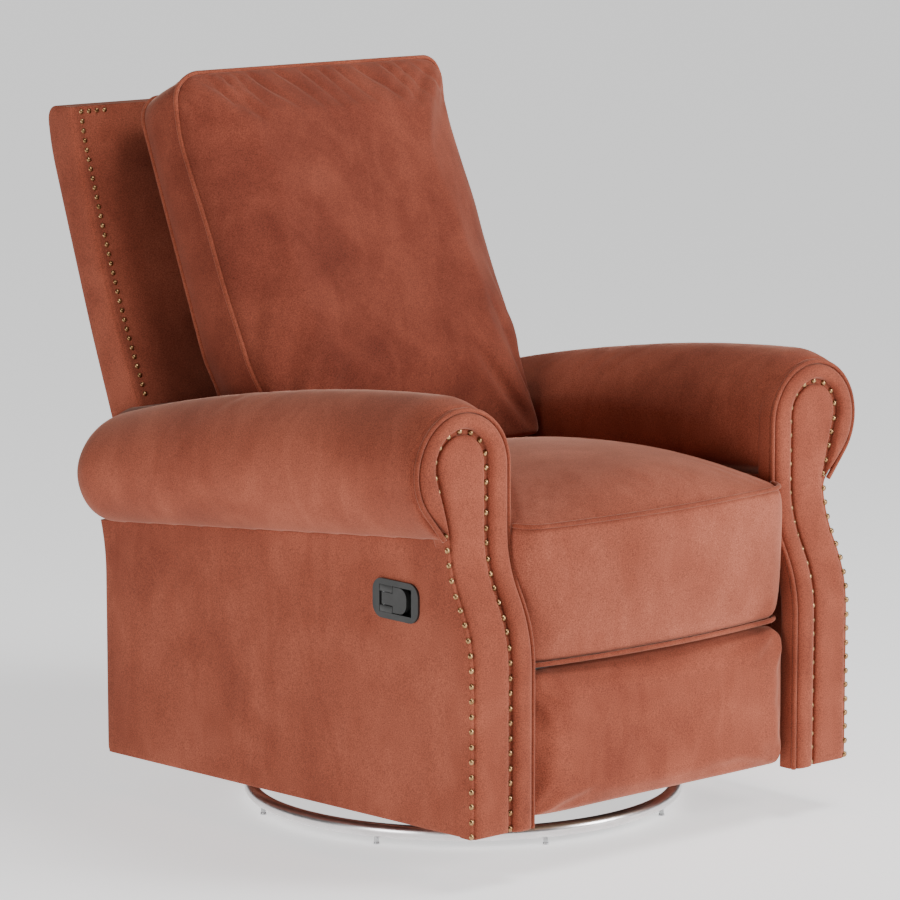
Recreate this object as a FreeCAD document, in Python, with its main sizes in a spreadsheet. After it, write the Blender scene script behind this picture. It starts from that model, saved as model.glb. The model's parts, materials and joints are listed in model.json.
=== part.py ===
import FreeCAD, Part
import math
import os
import Sketcher
from FreeCAD import Rotation, Vector

# Swivel glider recliner in rolled-arm style, in millimetres.
# The origin is on the floor under the middle of the chair's outline.
# X runs across the chair and +X is the sitter's left, -Y is the front, +Z is up.
# The chair is built as it is made: a steel ring with a swivel, glider links that carry
# two steel side plates, a wooden seat frame, arms, a reclining back and a folding footrest.

doc = FreeCAD.newDocument("SwivelGliderRecliner")

# Driving sizes
SIZES = {
    # Floor ring and swivel
    "swivel_place": -49,
    "ring_size": 312,
    "ring_tube": 10.5,
    "glide_tall": 10,
    "glide_size": 11,
    "cross_bar_wide": 44,
    "cross_bar_thick": 6,
    "hub_flange": 70,
    "hub_flange_thick": 5,
    "hub_post": 18,
    "hub_post_tall": 30,
    "bearing_outer": 54,
    "bearing_inner": 38,
    "bearing_tall": 11,
    "hub_bolt": 4,
    "bolt_head_wide": 7,
    "bolt_head_tall": 5,
    "bolt_circle": 62,
    "swivel_plate_wide": 304,
    "swivel_plate_deep": 230,
    "swivel_plate_thick": 5,
    # Glider
    "steel": 4,
    "glider_bracket_place": 150,
    "glider_bracket_tall": 128,
    "link_reach": 100,
    "link_length": 92,
    "link_wide": 22,
    "link_pin": 5,
    "link_lift": 6,
    "slot_play": 0.7,
    "glider_rail_tall": 50,
    # Steel side plates of the mechanism
    "plate_place": 226,
    "plate_front": -327,
    "plate_top": 392,
    "plate_rear": 261,
    "cross_tube": 11,
    "cross_tube_front": -147,
    "cross_tube_rear": 123,
    "cross_tube_height": 205,
    # Seat frame
    "arm_gap": 253,
    "seat_rail_low": 330,
    "seat_rail_top": 396,
    "seat_rail_front": -427,
    "seat_rail_rear": 153,
    "rail_wood": 19,
    "spring_wire": 1.9,
    "spring_step": 24,
    "spring_swing": 22,
    "spring_spacing": 88,
    # Seat cushion
    "seat_front": -463,
    "seat_bow": 16,
    "seat_welt_low": 295,
    "seat_welt_high": 490,
    "seat_crown": 64,
    "seat_side_gap": 3,
    "seat_back_end": 131,
    "apron_thick": 35.7,
    "welt_wire": 3.5,
    # Arms
    "arm_wide": 113,
    "arm_front_low": -472.5,
    "arm_setback": 49.5,
    "arm_curve_low": 300,
    "arm_curve_drop": 88,
    "arm_bottom_front": 74,
    "arm_bottom_rear": 57,
    "arm_rear": 331,
    "arm_board": 24,
    "panel": 12,
    "roll_size": 86,
    "roll_inset": 2,
    "roll_height": 571,
    "roll_neck_drop": 93,
    "roll_neck_fall": 0.1,
    "roll_peak": 672,
    "roll_peak_back": 33,
    "roll_slope": 0.0266,
    "roll_bend": 0.000178,
    "roll_rear": 356,
    "roll_dome": 55,
    "nail_arch": 46.5,
    "nail_arch_rise": 8,
    "nail_pitch": 20.7,
    "nail_head": 4.4,
    "nail_tall": 2.6,
    "placard_inset": 6.5,
    "placard_rise": 5,
    "border_rise": 11,
    # Back
    "recline_place": 235,
    "recline_height": 330,
    "back_wide": 343,
    "back_narrow": 217,
    "back_low": 346,
    "back_top": 1005,
    "back_base_height": 587,
    "back_front_base": 283,
    "back_front_lean": 0.359,
    "back_rear_base": 354,
    "back_rear_lean": 0.338,
    "back_round": 22,
    "wing_front_height": 583,
    "wing_rear_height": 552,
    "back_wall": 12,
    "frame_wood": 26,
    "back_nail_pitch": 14.3,
    "back_nail_head": 3.6,
    "back_nail_inset": 20,
    "back_nail_drop": 9,
    "top_nails": 4,
    "cushion_wide": 256,
    "cushion_low": 497,
    "cushion_front_low": 87,
    "cushion_rear_low": 169,
    "cushion_top": 1046,
    "cushion_front_top": 298,
    "cushion_rear_top": 375,
    "cushion_crown": 24,
    "cushion_corner": 25,
    # Footrest
    "footrest_pivot": -280,
    "footrest_pivot_height": 265,
    "elbow_place": -195,
    "elbow_height": 112,
    "toe_place": -405,
    "toe_height": 168,
    "foot_link_wide": 22,
    "foot_pin": 5,
    "footrest_wide": 248,
    "footrest_top": 286,
    "footrest_low": 76,
    "footrest_front": -466,
    "footrest_pad_thick": 30,
    "footrest_board_thick": 14,
    "footrest_crown": 13,
    "footrest_round": 75,
    # Release handle on the sitter's right
    "handle_place": -322,
    "handle_height": 382.5,
    "handle_long": 94,
    "handle_tall": 55,
    "handle_lip": 9,
    "handle_proud": 3.5,
    "handle_deep": 22,
    "handle_recess_long": 66,
    "handle_recess_tall": 38,
    "handle_recess_deep": 18,
    "paddle_thick": 8,
    "paddle_pull": 24,
    "paddle_stem": 22,
    "paddle_stem_tall": 17,
    "finger_gap": 11,
    "cable": 2.5,
    "cable_exit_place": -137,
    "cable_exit_height": 250,
    # Running clearances
    "play": 0.3,
    "gap": 1,
}

sheet = doc.addObject("Spreadsheet::Sheet", "Sizes")
for row, (name, value) in enumerate(SIZES.items(), start=1):
    sheet.set(f"A{row}", name)
    sheet.set(f"B{row}", str(value))
    sheet.setAlias(f"B{row}", name)
doc.recompute()


class Size:
    """A length together with the sheet formula that it comes from."""

    def __init__(self, value, formula):
        self.value = float(value)
        self.formula = formula

    def __add__(self, other):
        other = as_size(other)
        return Size(self.value + other.value, f"({self.formula} + {other.formula})")

    def __sub__(self, other):
        other = as_size(other)
        return Size(self.value - other.value, f"({self.formula} - {other.formula})")

    def __mul__(self, other):
        other = as_size(other)
        return Size(self.value * other.value, f"({self.formula} * {other.formula})")

    def __truediv__(self, other):
        other = as_size(other)
        return Size(self.value / other.value, f"({self.formula} / {other.formula})")

    def __neg__(self):
        return Size(-self.value, f"(-1 * {self.formula})")

    def __float__(self):
        return self.value


def as_size(number):
    """Take a plain number into a formula."""
    if isinstance(number, Size):
        return number
    return Size(number, f"({number})")


class Sizes:
    """The sheet's cells by name."""

    def __getattr__(self, name):
        return Size(sheet.get(name), f"Sizes.{name}")


s = Sizes()


# Helpers for document objects
def bind(item, path, size):
    """Bind a property or constraint to its sheet formula."""
    item.setExpression(path, as_size(size).formula)


def new_body(name):
    body = doc.addObject("PartDesign::Body", name)
    body.Label = name
    return body


def origin_plane(body, role):
    return next(f for f in body.Origin.OriginFeatures if f.Role == role)


def new_sketch(body, role, offset=None, name="Sketch"):
    """Sketch on one of the body's own planes, moved along the plane's normal."""
    sketch = body.newObject("Sketcher::SketchObject", f"{body.Name}_{name}")
    sketch.AttachmentSupport = [(origin_plane(body, role), "")]
    sketch.MapMode = "FlatFace"
    if offset is not None:
        bind(sketch, "AttachmentOffset.Base.z", offset)
    return sketch


def hold(sketch, kind, geometry, point, size):
    """Hold a point at a signed distance from the sketch's origin."""
    if not isinstance(size, Size) and size == 0:
        axis = -2 if kind == "DistanceX" else -1
        sketch.addConstraint(Sketcher.Constraint("PointOnObject", geometry, point, axis))
        return
    index = sketch.addConstraint(Sketcher.Constraint(kind, -1, 1, geometry, point, float(size)))
    bind(sketch, f"Constraints[{index}]", size)


def draw_outline(sketch, corners):
    """Closed outline of straight lines through corners, each held at its place."""
    first = sketch.GeometryCount
    places = [Vector(float(u), float(v), 0) for u, v in corners]
    for index, place in enumerate(places):
        following = places[(index + 1) % len(places)]
        sketch.addGeometry(Part.LineSegment(place, following))
    for index, (u, v) in enumerate(corners):
        line = first + index
        following = first + (index + 1) % len(corners)
        sketch.addConstraint(Sketcher.Constraint("Coincident", line, 2, following, 1))
        hold(sketch, "DistanceX", line, 1, u)
        hold(sketch, "DistanceY", line, 1, v)


def draw_circle(sketch, u, v, radius):
    """Full circle held by its centre and radius."""
    circle = Part.Circle(Vector(float(u), float(v), 0), Vector(0, 0, 1), float(radius))
    index = sketch.addGeometry(circle)
    hold(sketch, "DistanceX", index, 3, u)
    hold(sketch, "DistanceY", index, 3, v)
    constraint = sketch.addConstraint(Sketcher.Constraint("Radius", index, float(radius)))
    bind(sketch, f"Constraints[{constraint}]", radius)


def pad(body, sketch, length, midplane=False, name="Pad"):
    feature = body.newObject("PartDesign::Pad", f"{body.Name}_{name}")
    feature.Profile = sketch
    feature.Midplane = midplane
    bind(feature, "Length", length)
    sketch.Visibility = False
    doc.recompute()
    return feature


def pocket(body, sketch, length, reversed_=False, midplane=False, name="Pocket"):
    """Cut a sketch out of the body and make sure that it took something away."""
    before = body.Shape.Volume
    feature = body.newObject("PartDesign::Pocket", f"{body.Name}_{name}")
    feature.Profile = sketch
    feature.Reversed = reversed_
    feature.Midplane = midplane
    bind(feature, "Length", length)
    doc.recompute()
    if body.Shape.Volume > before - 1e-6:
        raise ValueError(f"{feature.Name} cuts nothing")
    return feature


def revolve(body, sketch):
    """Turn a sketch about the sketch's upright axis."""
    feature = body.newObject("PartDesign::Revolution", f"{body.Name}_Turn")
    feature.Profile = sketch
    feature.ReferenceAxis = (sketch, ["V_Axis"])
    feature.Angle = 360
    doc.recompute()
    return feature


def place(item, x=0, y=0, z=0):
    """Bind the place of an object to the sheet."""
    for axis, size in zip("xyz", (x, y, z)):
        bind(item, f"Placement.Base.{axis}", size)


def side_plate(name, corners, inner, thick, holes=()):
    """Plate that stands upright beside the middle plane, from inner outwards."""
    body = new_body(name)
    sketch = new_sketch(body, "YZ_Plane", inner)
    draw_outline(sketch, corners)
    for y, z, radius in holes:
        draw_circle(sketch, y, z, radius)
    pad(body, sketch, thick)
    return body


def cross_board(name, corners, half):
    """Board that runs across the chair, with its outline seen from the side."""
    body = new_body(name)
    sketch = new_sketch(body, "YZ_Plane")
    draw_outline(sketch, corners)
    pad(body, sketch, half * 2, midplane=True)
    return body


def mirrored(name, source):
    """Copy of a part on the other side of the chair."""
    copy = doc.addObject("Part::Mirroring", name)
    copy.Label = name
    copy.Source = source
    copy.Normal = Vector(1, 0, 0)
    doc.recompute()
    return copy


def both_sides(name, source):
    """One node that holds a part and its mirror image as two solids."""
    source.Label = f"{name}_one_side"
    group = doc.addObject("Part::Compound", name)
    group.Label = name
    group.Links = [source, mirrored(f"{name}_other_side", source)]
    doc.recompute()
    return group


def shaped(name, shape):
    """Part whose shape is worked out from the sheet by this script."""
    feature = doc.addObject("Part::Feature", name)
    feature.Label = name
    feature.Shape = shape
    feature.Placement = FreeCAD.Placement(Vector(0, 0, 0), Rotation())
    return feature


def group_of(name, shapes):
    return shaped(name, Part.makeCompound(shapes))


def box_between(x, y, z):
    """Box between two places on each axis."""
    size = [float(high) - float(low) for low, high in (x, y, z)]
    return Part.makeBox(*size, Vector(float(x[0]), float(y[0]), float(z[0])))


def rod(x_from, x_to, y, z, radius):
    """Round rod that lies across the chair."""
    start = Vector(float(x_from), float(y), float(z))
    return Part.makeCylinder(float(radius), float(x_to) - float(x_from), start, Vector(1, 0, 0))


def mirror_shape(shape):
    return shape.mirror(Vector(0, 0, 0), Vector(1, 0, 0))


def tube_along(edges, radius):
    """Round tube along a chain of tangent edges."""
    path = Part.Wire(Part.__sortEdges__(edges))
    first = path.OrderedEdges[0]
    start = path.OrderedVertexes[0].Point
    direction = first.tangentAt(first.FirstParameter)
    section = Part.Wire([Part.makeCircle(float(radius), start, direction)])
    return path.makePipeShell([section], True, False)


def rounded_path(points, share=0.45):
    """Straight runs through points, joined by tangent arcs as large as the runs allow."""
    edges = []
    place_now = points[0]
    for before, corner, after in zip(points, points[1:], points[2:]):
        into = (corner - before).normalize()
        out = (after - corner).normalize()
        reach = share * min((corner - before).Length, (after - corner).Length)
        start = corner - into * reach
        end = corner + out * reach
        middle_line = (out - into).normalize()
        half_turn = into.getAngle(out) / 2
        radius = reach / math.tan(half_turn)
        middle = corner + middle_line * (radius / math.cos(half_turn) - radius)
        edges.append(Part.makeLine(place_now, start))
        edges.append(Part.Arc(start, middle, end).toShape())
        place_now = end
    edges.append(Part.makeLine(place_now, points[-1]))
    return edges


# Floor ring, cross bars and swivel hub
ring_middle = s.glide_tall + s.ring_tube
bar_low = ring_middle + s.ring_tube + s.play
bar_top = bar_low + s.cross_bar_thick


def make_base_ring():
    ring = doc.addObject("Part::Torus", "base_ring")
    ring.Label = "base_ring"
    bind(ring, "Radius1", s.ring_size)
    bind(ring, "Radius2", s.ring_tube)
    place(ring, 0, s.swivel_place, ring_middle)


def make_base_glides():
    """Eight plastic glides whose tops cup the ring from below."""
    ring = Part.makeTorus(s.ring_size.value, float(s.ring_tube + s.play))
    ring.translate(Vector(0, s.swivel_place.value, float(ring_middle)))
    glides = []
    for turn in range(0, 360, 45):
        angle = math.radians(turn)
        foot = Vector(s.ring_size.value * math.cos(angle),
                      s.swivel_place.value + s.ring_size.value * math.sin(angle), 0)
        post = Part.makeCylinder(s.glide_size.value, float(s.glide_tall + s.ring_tube / 3), foot)
        glides.append(post.cut(ring))
    group_of("base_glides", glides)


def make_base_cross():
    """Two flat steel bars that cross under the hub and rest on the ring."""
    body = new_body("base_cross")
    half = s.cross_bar_wide / 2
    reach = s.ring_size
    corners = [(reach, half), (half, half), (half, reach), (-half, reach),
               (-half, half), (-reach, half), (-reach, -half), (-half, -half),
               (-half, -reach), (half, -reach), (half, -half), (reach, -half)]
    sketch = new_sketch(body, "XY_Plane")
    draw_outline(sketch, corners)
    pad(body, sketch, s.cross_bar_thick)
    body.Placement = FreeCAD.Placement(Vector(0, 0, 0), Rotation(Vector(0, 0, 1), 45))
    place(body, 0, s.swivel_place, bar_low)


def make_swivel_hub():
    """Flange and post of the swivel, turned in one piece."""
    body = new_body("swivel_hub")
    sketch = new_sketch(body, "XZ_Plane")
    top = s.hub_flange_thick + s.hub_post_tall
    corners = [(0, 0), (s.hub_flange, 0), (s.hub_flange, s.hub_flange_thick),
               (s.hub_post, s.hub_flange_thick), (s.hub_post, top), (0, top)]
    draw_outline(sketch, corners)
    revolve(body, sketch)
    sketch_holes = new_sketch(body, "XY_Plane", name="Holes")
    for along, across in bolt_places():
        draw_circle(sketch_holes, along, across, s.hub_bolt + s.play)
    pocket(body, sketch_holes, s.hub_flange_thick, reversed_=True)
    place(body, 0, s.swivel_place, bar_top)


def bolt_places():
    """Four bolts on the hub's bolt circle, over the cross bars."""
    reach = s.bolt_circle * math.cos(math.radians(45))
    return [(reach, reach), (-reach, reach), (-reach, -reach), (reach, -reach)]


def make_hub_bolts():
    """Hexagon bolts that hold the hub to the cross bars."""
    bolts = []
    head_low = float(bar_top + s.hub_flange_thick)
    for x, y in bolt_places():
        centre = Vector(float(x), s.swivel_place.value + float(y), head_low)
        corners = [Vector(s.bolt_head_wide.value * math.cos(math.radians(60 * k)),
                          s.bolt_head_wide.value * math.sin(math.radians(60 * k)), 0) + centre
                   for k in range(7)]
        head = Part.Face(Part.makePolygon(corners)).extrude(Vector(0, 0, s.bolt_head_tall.value))
        shank = Part.makeCylinder(s.hub_bolt.value, s.hub_flange_thick.value,
                                  centre - Vector(0, 0, s.hub_flange_thick.value))
        bolts.append(head.fuse(shank).removeSplitter())
    group_of("hub_bolts", bolts)


bearing_low = bar_top + s.hub_flange_thick
plate_low = bearing_low + s.bearing_tall
plate_top = plate_low + s.swivel_plate_thick


def make_swivel_bearing():
    """Closed ball race between the hub flange and the turning plate."""
    body = new_body("swivel_bearing")
    sketch = new_sketch(body, "XZ_Plane")
    draw_outline(sketch, [(s.bearing_inner, 0), (s.bearing_outer, 0),
                          (s.bearing_outer, s.bearing_tall), (s.bearing_inner, s.bearing_tall)])
    revolve(body, sketch)
    place(body, 0, s.swivel_place, bearing_low)


def make_swivel_plate():
    body = new_body("swivel_plate")
    sketch = new_sketch(body, "XY_Plane")
    wide = s.glider_bracket_place + s.steel
    deep = s.swivel_plate_deep / 2
    draw_outline(sketch, [(wide, deep), (-wide, deep), (-wide, -deep), (wide, -deep)])
    draw_circle(sketch, 0, 0, s.hub_post + s.gap)
    pad(body, sketch, s.swivel_plate_thick)
    place(body, 0, s.swivel_place, plate_low)


# Glider: brackets on the swivel plate, hanging links and the rails that they carry
hang_height = plate_top + s.glider_bracket_tall - s.link_wide
carry_height = hang_height - s.link_length
link_in = s.glider_bracket_place + s.steel + s.gap
rail_in = link_in + s.steel + s.gap
rail_low = carry_height - s.link_wide / 2
rail_top = rail_low + s.glider_rail_tall


def make_glider_brackets():
    """Upright steel plates that the links hang from."""
    low = plate_top
    top = low + s.glider_bracket_tall
    half = s.swivel_plate_deep / 2
    pin_half = s.link_reach + s.link_wide / 2
    corners = [(s.swivel_place - half, low), (s.swivel_place + half, low),
               (s.swivel_place + pin_half, top), (s.swivel_place - pin_half, top)]
    plate = side_plate("glider_bracket", corners, s.glider_bracket_place, s.steel)
    both_sides("glider_brackets", plate)


def make_glider_pins():
    """Upper pins ride with the swivel plate, lower pins with the rails."""
    upper = []
    lower = []
    outer = link_in + s.steel + s.gap / 2
    for side in (-1, 1):
        y = s.swivel_place + s.link_reach * side
        pin = rod(s.glider_bracket_place + s.steel, outer, y, hang_height, s.link_pin)
        upper += [pin, mirror_shape(pin)]
        pin = rod(link_in - s.gap / 2, rail_in, y, carry_height, s.link_pin)
        lower += [pin, mirror_shape(pin)]
    group_of("glider_upper_pins", upper)
    group_of("glider_lower_pins", lower)


def strip_outline(y_from, z_from, y_to, z_to, wide):
    """Face of a flat link with round ends, seen from the side."""
    start = Vector(0, float(y_from), float(z_from))
    end = Vector(0, float(y_to), float(z_to))
    along = (end - start).normalize()
    across = Vector(0, -along.z, along.y) * (float(wide) / 2)
    cap = along * (float(wide) / 2)
    edges = [Part.makeLine(start + across, end + across),
             Part.Arc(end + across, end + cap, end - across).toShape(),
             Part.makeLine(end - across, start - across),
             Part.Arc(start - across, start - cap, start + across).toShape()]
    return Part.Face(Part.Wire(edges))


def flat_link(x_in, thick, y_from, z_from, y_to, z_to, wide, holes):
    """Flat steel link with its holes."""
    blank = strip_outline(y_from, z_from, y_to, z_to, wide).extrude(Vector(float(thick), 0, 0))
    blank.translate(Vector(float(x_in), 0, 0))
    for y, z, radius in holes:
        blank = blank.cut(rod(x_in - 1, x_in + thick + 1, y, z, radius))
    return blank


def make_glider_links(name, side):
    """Pair of hanging links; the lower eye is long, so that the rail can keep its height."""
    y = s.swivel_place + s.link_reach * side
    hole = s.link_pin + s.slot_play
    link = flat_link(link_in, s.steel, y, carry_height - s.link_lift, y, hang_height, s.link_wide,
                     [(y, hang_height, s.link_pin + s.play), (y, carry_height, hole),
                      (y, carry_height - s.link_lift, hole)])
    slot = box_between((link_in - 1, link_in + s.steel + 1), (y - hole, y + hole),
                       (carry_height - s.link_lift, carry_height))
    link = link.cut(slot)
    group_of(name, [link, mirror_shape(link)])


def make_glider_rails():
    """Bent steel rails: a web that holds the lower pins and a flange to the side plates."""
    body = new_body("glider_rail")
    sketch = new_sketch(body, "XZ_Plane", -(s.swivel_place + s.link_reach + s.link_wide))
    draw_outline(sketch, [(rail_in, rail_low), (rail_in + s.steel, rail_low),
                          (rail_in + s.steel, rail_top - s.steel), (s.plate_place, rail_top - s.steel),
                          (s.plate_place, rail_top), (rail_in, rail_top)])
    pad(body, sketch, (s.link_reach + s.link_wide) * 2)
    both_sides("glider_rails", body)


# Mechanism side plates and cross tubes
def make_mechanism_plates():
    """Steel side plates that carry the seat, the back's pivot and the footrest's pivot."""
    corners = [(s.plate_front, s.footrest_pivot_height - s.foot_link_wide),
               (s.footrest_pivot + s.foot_link_wide, s.footrest_pivot_height - s.foot_link_wide),
               (s.swivel_place - s.link_reach - s.link_wide, rail_top - s.steel * 2),
               (s.swivel_place + s.link_reach + s.link_wide, rail_top - s.steel * 2),
               (s.plate_rear, s.recline_height - s.foot_link_wide),
               (s.plate_rear, s.recline_height + s.foot_link_wide),
               (s.recline_place - s.foot_link_wide, s.recline_height + s.foot_link_wide),
               (s.seat_rail_rear, s.plate_top),
               (s.plate_front, s.plate_top)]
    holes = [(s.recline_place, s.recline_height, s.foot_pin + s.play),
             (s.footrest_pivot, s.footrest_pivot_height, s.foot_pin + s.play)]
    left = side_plate("mechanism_plate_left", corners, s.plate_place, s.steel, holes)
    mirrored("mechanism_plate_right", left)


def make_cross_tubes():
    """Round tubes that tie the two side plates together."""
    tubes = []
    for y in (s.cross_tube_front, s.cross_tube_rear):
        bar = rod(-s.plate_place, s.plate_place, y, s.cross_tube_height, s.cross_tube)
        bore = rod(-s.plate_place, s.plate_place, y, s.cross_tube_height, s.cross_tube - 2)
        tubes.append(bar.cut(bore))
    group_of("mechanism_cross_tubes", tubes)


def make_pivot_pins():
    """Shouldered pins of the footrest and of the back, riveted into the side plates."""
    pins = {"footrest_pivot_pins": (s.footrest_pivot, s.footrest_pivot_height),
            "recline_pins": (s.recline_place, s.recline_height)}
    for name, (y, z) in pins.items():
        inner = s.plate_place - s.steel - s.gap * 2
        pin = rod(inner, s.plate_place + s.steel, y, z, s.foot_pin)
        head = rod(s.plate_place + s.steel, s.plate_place + s.steel + s.gap, y, z, s.foot_pin * 1.5)
        pin = pin.fuse(head).removeSplitter()
        group_of(name, [pin, mirror_shape(pin)])


# Seat frame, springs and cushion
rail_out = s.arm_gap
rail_inner = s.plate_place + s.steel


def make_seat_rails():
    """Wooden rails: two sides bolted to the steel plates, one front, one rear."""
    side = side_plate("seat_rail_side", [(s.seat_rail_front, s.seat_rail_low + s.foot_link_wide),
                                         (s.seat_rail_rear, s.seat_rail_low + s.foot_link_wide),
                                         (s.seat_rail_rear, s.seat_rail_top),
                                         (s.seat_rail_front, s.seat_rail_top)],
                      rail_inner, rail_out - rail_inner)
    both_sides("seat_side_rails", side)
    front = s.seat_rail_front
    low = s.seat_welt_low + s.welt_wire * 4
    cross_board("seat_front_rail", [(front, low), (front + s.rail_wood, low),
                                    (front + s.rail_wood, s.seat_rail_top), (front, s.seat_rail_top)],
                rail_inner)
    rear = s.seat_rail_rear
    cross_board("seat_rear_rail", [(rear - s.rail_wood, s.seat_rail_low), (rear, s.seat_rail_low),
                                   (rear, s.seat_rail_top), (rear - s.rail_wood, s.seat_rail_top)],
                s.plate_place)


def make_seat_springs():
    """Flat zigzag springs from the front rail to the rear rail, on top of both."""
    height = s.seat_rail_top + s.spring_wire
    front = s.seat_rail_front + s.rail_wood / 2
    length = float(s.seat_rail_rear - s.rail_wood / 2 - front)
    turns = round(length / s.spring_step.value)
    step = length / turns
    springs = []
    for lane in (-2, -1, 0, 1, 2):
        middle = s.spring_spacing.value * lane
        edges = []
        for turn in range(turns):
            side = 1 if turn % 2 else -1
            y = front.value + step * turn
            near = middle - side * s.spring_swing.value / 2
            far = middle + side * s.spring_swing.value / 2
            z = height.value
            edges.append(Part.makeLine(Vector(near, y, z), Vector(far, y, z)))
            if turn < turns - 1:
                edges.append(Part.Arc(Vector(far, y, z), Vector(far + side * step / 2, y + step / 2, z),
                                      Vector(far, y + step, z)).toShape())
        springs.append(tube_along(edges, s.spring_wire))
    group_of("seat_springs", springs)


def crowned_section(y, half, low, shoulder, crown, draw_in):
    """Cross-section of a cushion: flat below, drawn-in sides and a crowned top."""
    half, low, shoulder, crown, draw_in = (float(v) for v in (half, low, shoulder, crown, draw_in))
    waist = (low + shoulder) / 2
    points = [Vector(half, y, low), Vector(half - draw_in, y, waist), Vector(half, y, shoulder),
              Vector(0, y, crown), Vector(-half, y, shoulder), Vector(-half + draw_in, y, waist),
              Vector(-half, y, low)]
    edges = [Part.Arc(points[0], points[1], points[2]).toShape(),
             Part.Arc(points[2], points[3], points[4]).toShape(),
             Part.Arc(points[4], points[5], points[6]).toShape(),
             Part.makeLine(points[6], points[0])]
    return Part.Wire(edges)


def make_seat_cushion():
    """Crowned seat whose front border runs down over the front rail."""
    half = s.arm_gap - s.seat_side_gap
    low = s.seat_rail_top + s.spring_wire * 2 + s.play
    high = s.seat_welt_high
    front = s.seat_front.value
    rear = s.seat_back_end.value
    deep = rear - front
    sections = []
    for station in range(11):
        share = station / 10
        fullness = max(math.sin(math.pi * min(0.2 + 0.89 * share, 1)), 0.02)
        top = high + s.seat_crown * fullness
        sections.append(crowned_section(front + deep * share, half, low, high, top, 1.5))
    pad_top = Part.makeLoft(sections, True, True)
    bottom = s.seat_welt_low - s.welt_wire
    behind = front + float(s.apron_thick)
    drop = box_between((-half, half), (front, behind), (bottom, low + 2))
    bow = Part.Arc(Vector(-half.value, front, bottom.value),
                   Vector(0, front - s.seat_bow.value, bottom.value),
                   Vector(half.value, front, bottom.value)).toShape()
    base = Part.Face(Part.Wire([bow, Part.makeLine(Vector(half.value, front, bottom.value),
                                                   Vector(-half.value, front, bottom.value))]))
    face = base.extrude(Vector(0, 0, float(high + s.welt_wire - bottom)))
    cushion = pad_top.fuse([drop, face]).removeSplitter()
    shaped("seat_cushion", cushion)


def make_seat_welts():
    """Piping along the top and the bottom of the seat's front border."""
    half = float(s.arm_gap - s.seat_side_gap)
    out = s.welt_wire + s.play
    welts = []
    bow = s.seat_bow.value
    for height in (s.seat_welt_high - s.welt_wire * 2, s.seat_welt_low):
        y = float(s.seat_front - out)
        z = height.value
        arc = Part.Arc(Vector(-half, y, z), Vector(0, y - bow, z), Vector(half, y, z)).toShape()
        welts.append(tube_along([arc], s.welt_wire))
    group_of("seat_welts", welts)


# Arms
roll_x = s.arm_gap + s.roll_inset + s.roll_size
roll_neck = s.roll_height - s.roll_neck_drop
arm_curve_high = s.roll_height - s.arm_curve_drop
arm_out = s.arm_gap + s.arm_wide
front_high = s.arm_front_low + s.arm_setback
curve_tall = arm_curve_high - s.arm_curve_low
curve_angle = 2 * math.atan2(s.arm_setback.value, curve_tall.value)
curve_size = curve_tall.value / (2 * math.sin(curve_angle))


def front_edges(x, low, high, ahead=0.0):
    """Edges up the arm's front at one x: straight, two curves, then straight again."""
    x, low, high, ahead = (float(v) for v in (x, low, high, ahead))
    y_low = s.arm_front_low.value - ahead
    y_high = float(front_high) - ahead
    z_low = s.arm_curve_low.value
    z_high = arm_curve_high.value
    half = curve_angle / 2
    full = curve_size + ahead
    hollow = curve_size - ahead

    def on_low(angle):
        return Vector(x, y_low + full * (1 - math.cos(angle)), z_low + full * math.sin(angle))

    def on_high(angle):
        return Vector(x, y_high - hollow * (1 - math.cos(angle)), z_high - hollow * math.sin(angle))

    edges = [Part.makeLine(Vector(x, y_low, low), Vector(x, y_low, z_low)),
             Part.Arc(on_low(0), on_low(half), on_low(curve_angle)).toShape(),
             Part.Arc(on_high(curve_angle), on_high(half), on_high(0)).toShape()]
    if high > z_high:
        edges.append(Part.makeLine(Vector(x, y_high, z_high), Vector(x, y_high, high)))
    return edges


def front_tilt(z):
    """Angle by which the arm's front leans back at a height."""
    over = z - s.arm_curve_low.value
    under = arm_curve_high.value - z
    if over <= 0 or under <= 0:
        return 0.0
    return math.asin(min(over, under) / curve_size)


def front_slab(near, far):
    """Slab that follows the arm's front, from near to far in front of it."""
    low = float(s.arm_bottom_front) - 40
    top = float(s.roll_height + s.roll_size) + 40
    ahead = front_edges(0, low, top, far)
    behind = front_edges(0, low, top, near)
    ends = [Part.makeLine(ahead[0].Vertexes[0].Point, behind[0].Vertexes[0].Point),
            Part.makeLine(ahead[-1].Vertexes[-1].Point, behind[-1].Vertexes[-1].Point)]
    wire = Part.Wire(Part.__sortEdges__(ahead + behind + ends))
    return Part.Face(wire).extrude(Vector(float(arm_out + s.roll_size * 2), 0, 0))


def tangent_point(centre, radius, point):
    """Where the line from an outer point touches a circle, on the side of larger x."""
    away = point - centre
    direction = math.atan2(away.z, away.x)
    spread = math.acos(radius / away.Length)
    angle = direction + spread
    return centre + Vector(radius * math.cos(angle), 0, radius * math.sin(angle)), angle


def arch_edges(y, inner_x, radius, centre_z, neck_x, neck_z, low):
    """Outline over the arm's front: up the inner side, over the roll, down to the neck."""
    centre = Vector(inner_x + radius, y, centre_z)
    neck = Vector(neck_x, y, neck_z)
    touch, angle = tangent_point(centre, radius, neck)

    def at(turn):
        return centre + Vector(radius * math.cos(turn), 0, radius * math.sin(turn))

    middle = math.pi / 2
    return [Part.makeLine(Vector(inner_x, y, low), at(math.pi)),
            Part.Arc(at(math.pi), at((math.pi + middle) / 2), at(middle)).toShape(),
            Part.Arc(at(middle), at((middle + angle) / 2), touch).toShape(),
            Part.makeLine(touch, neck)]


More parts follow.
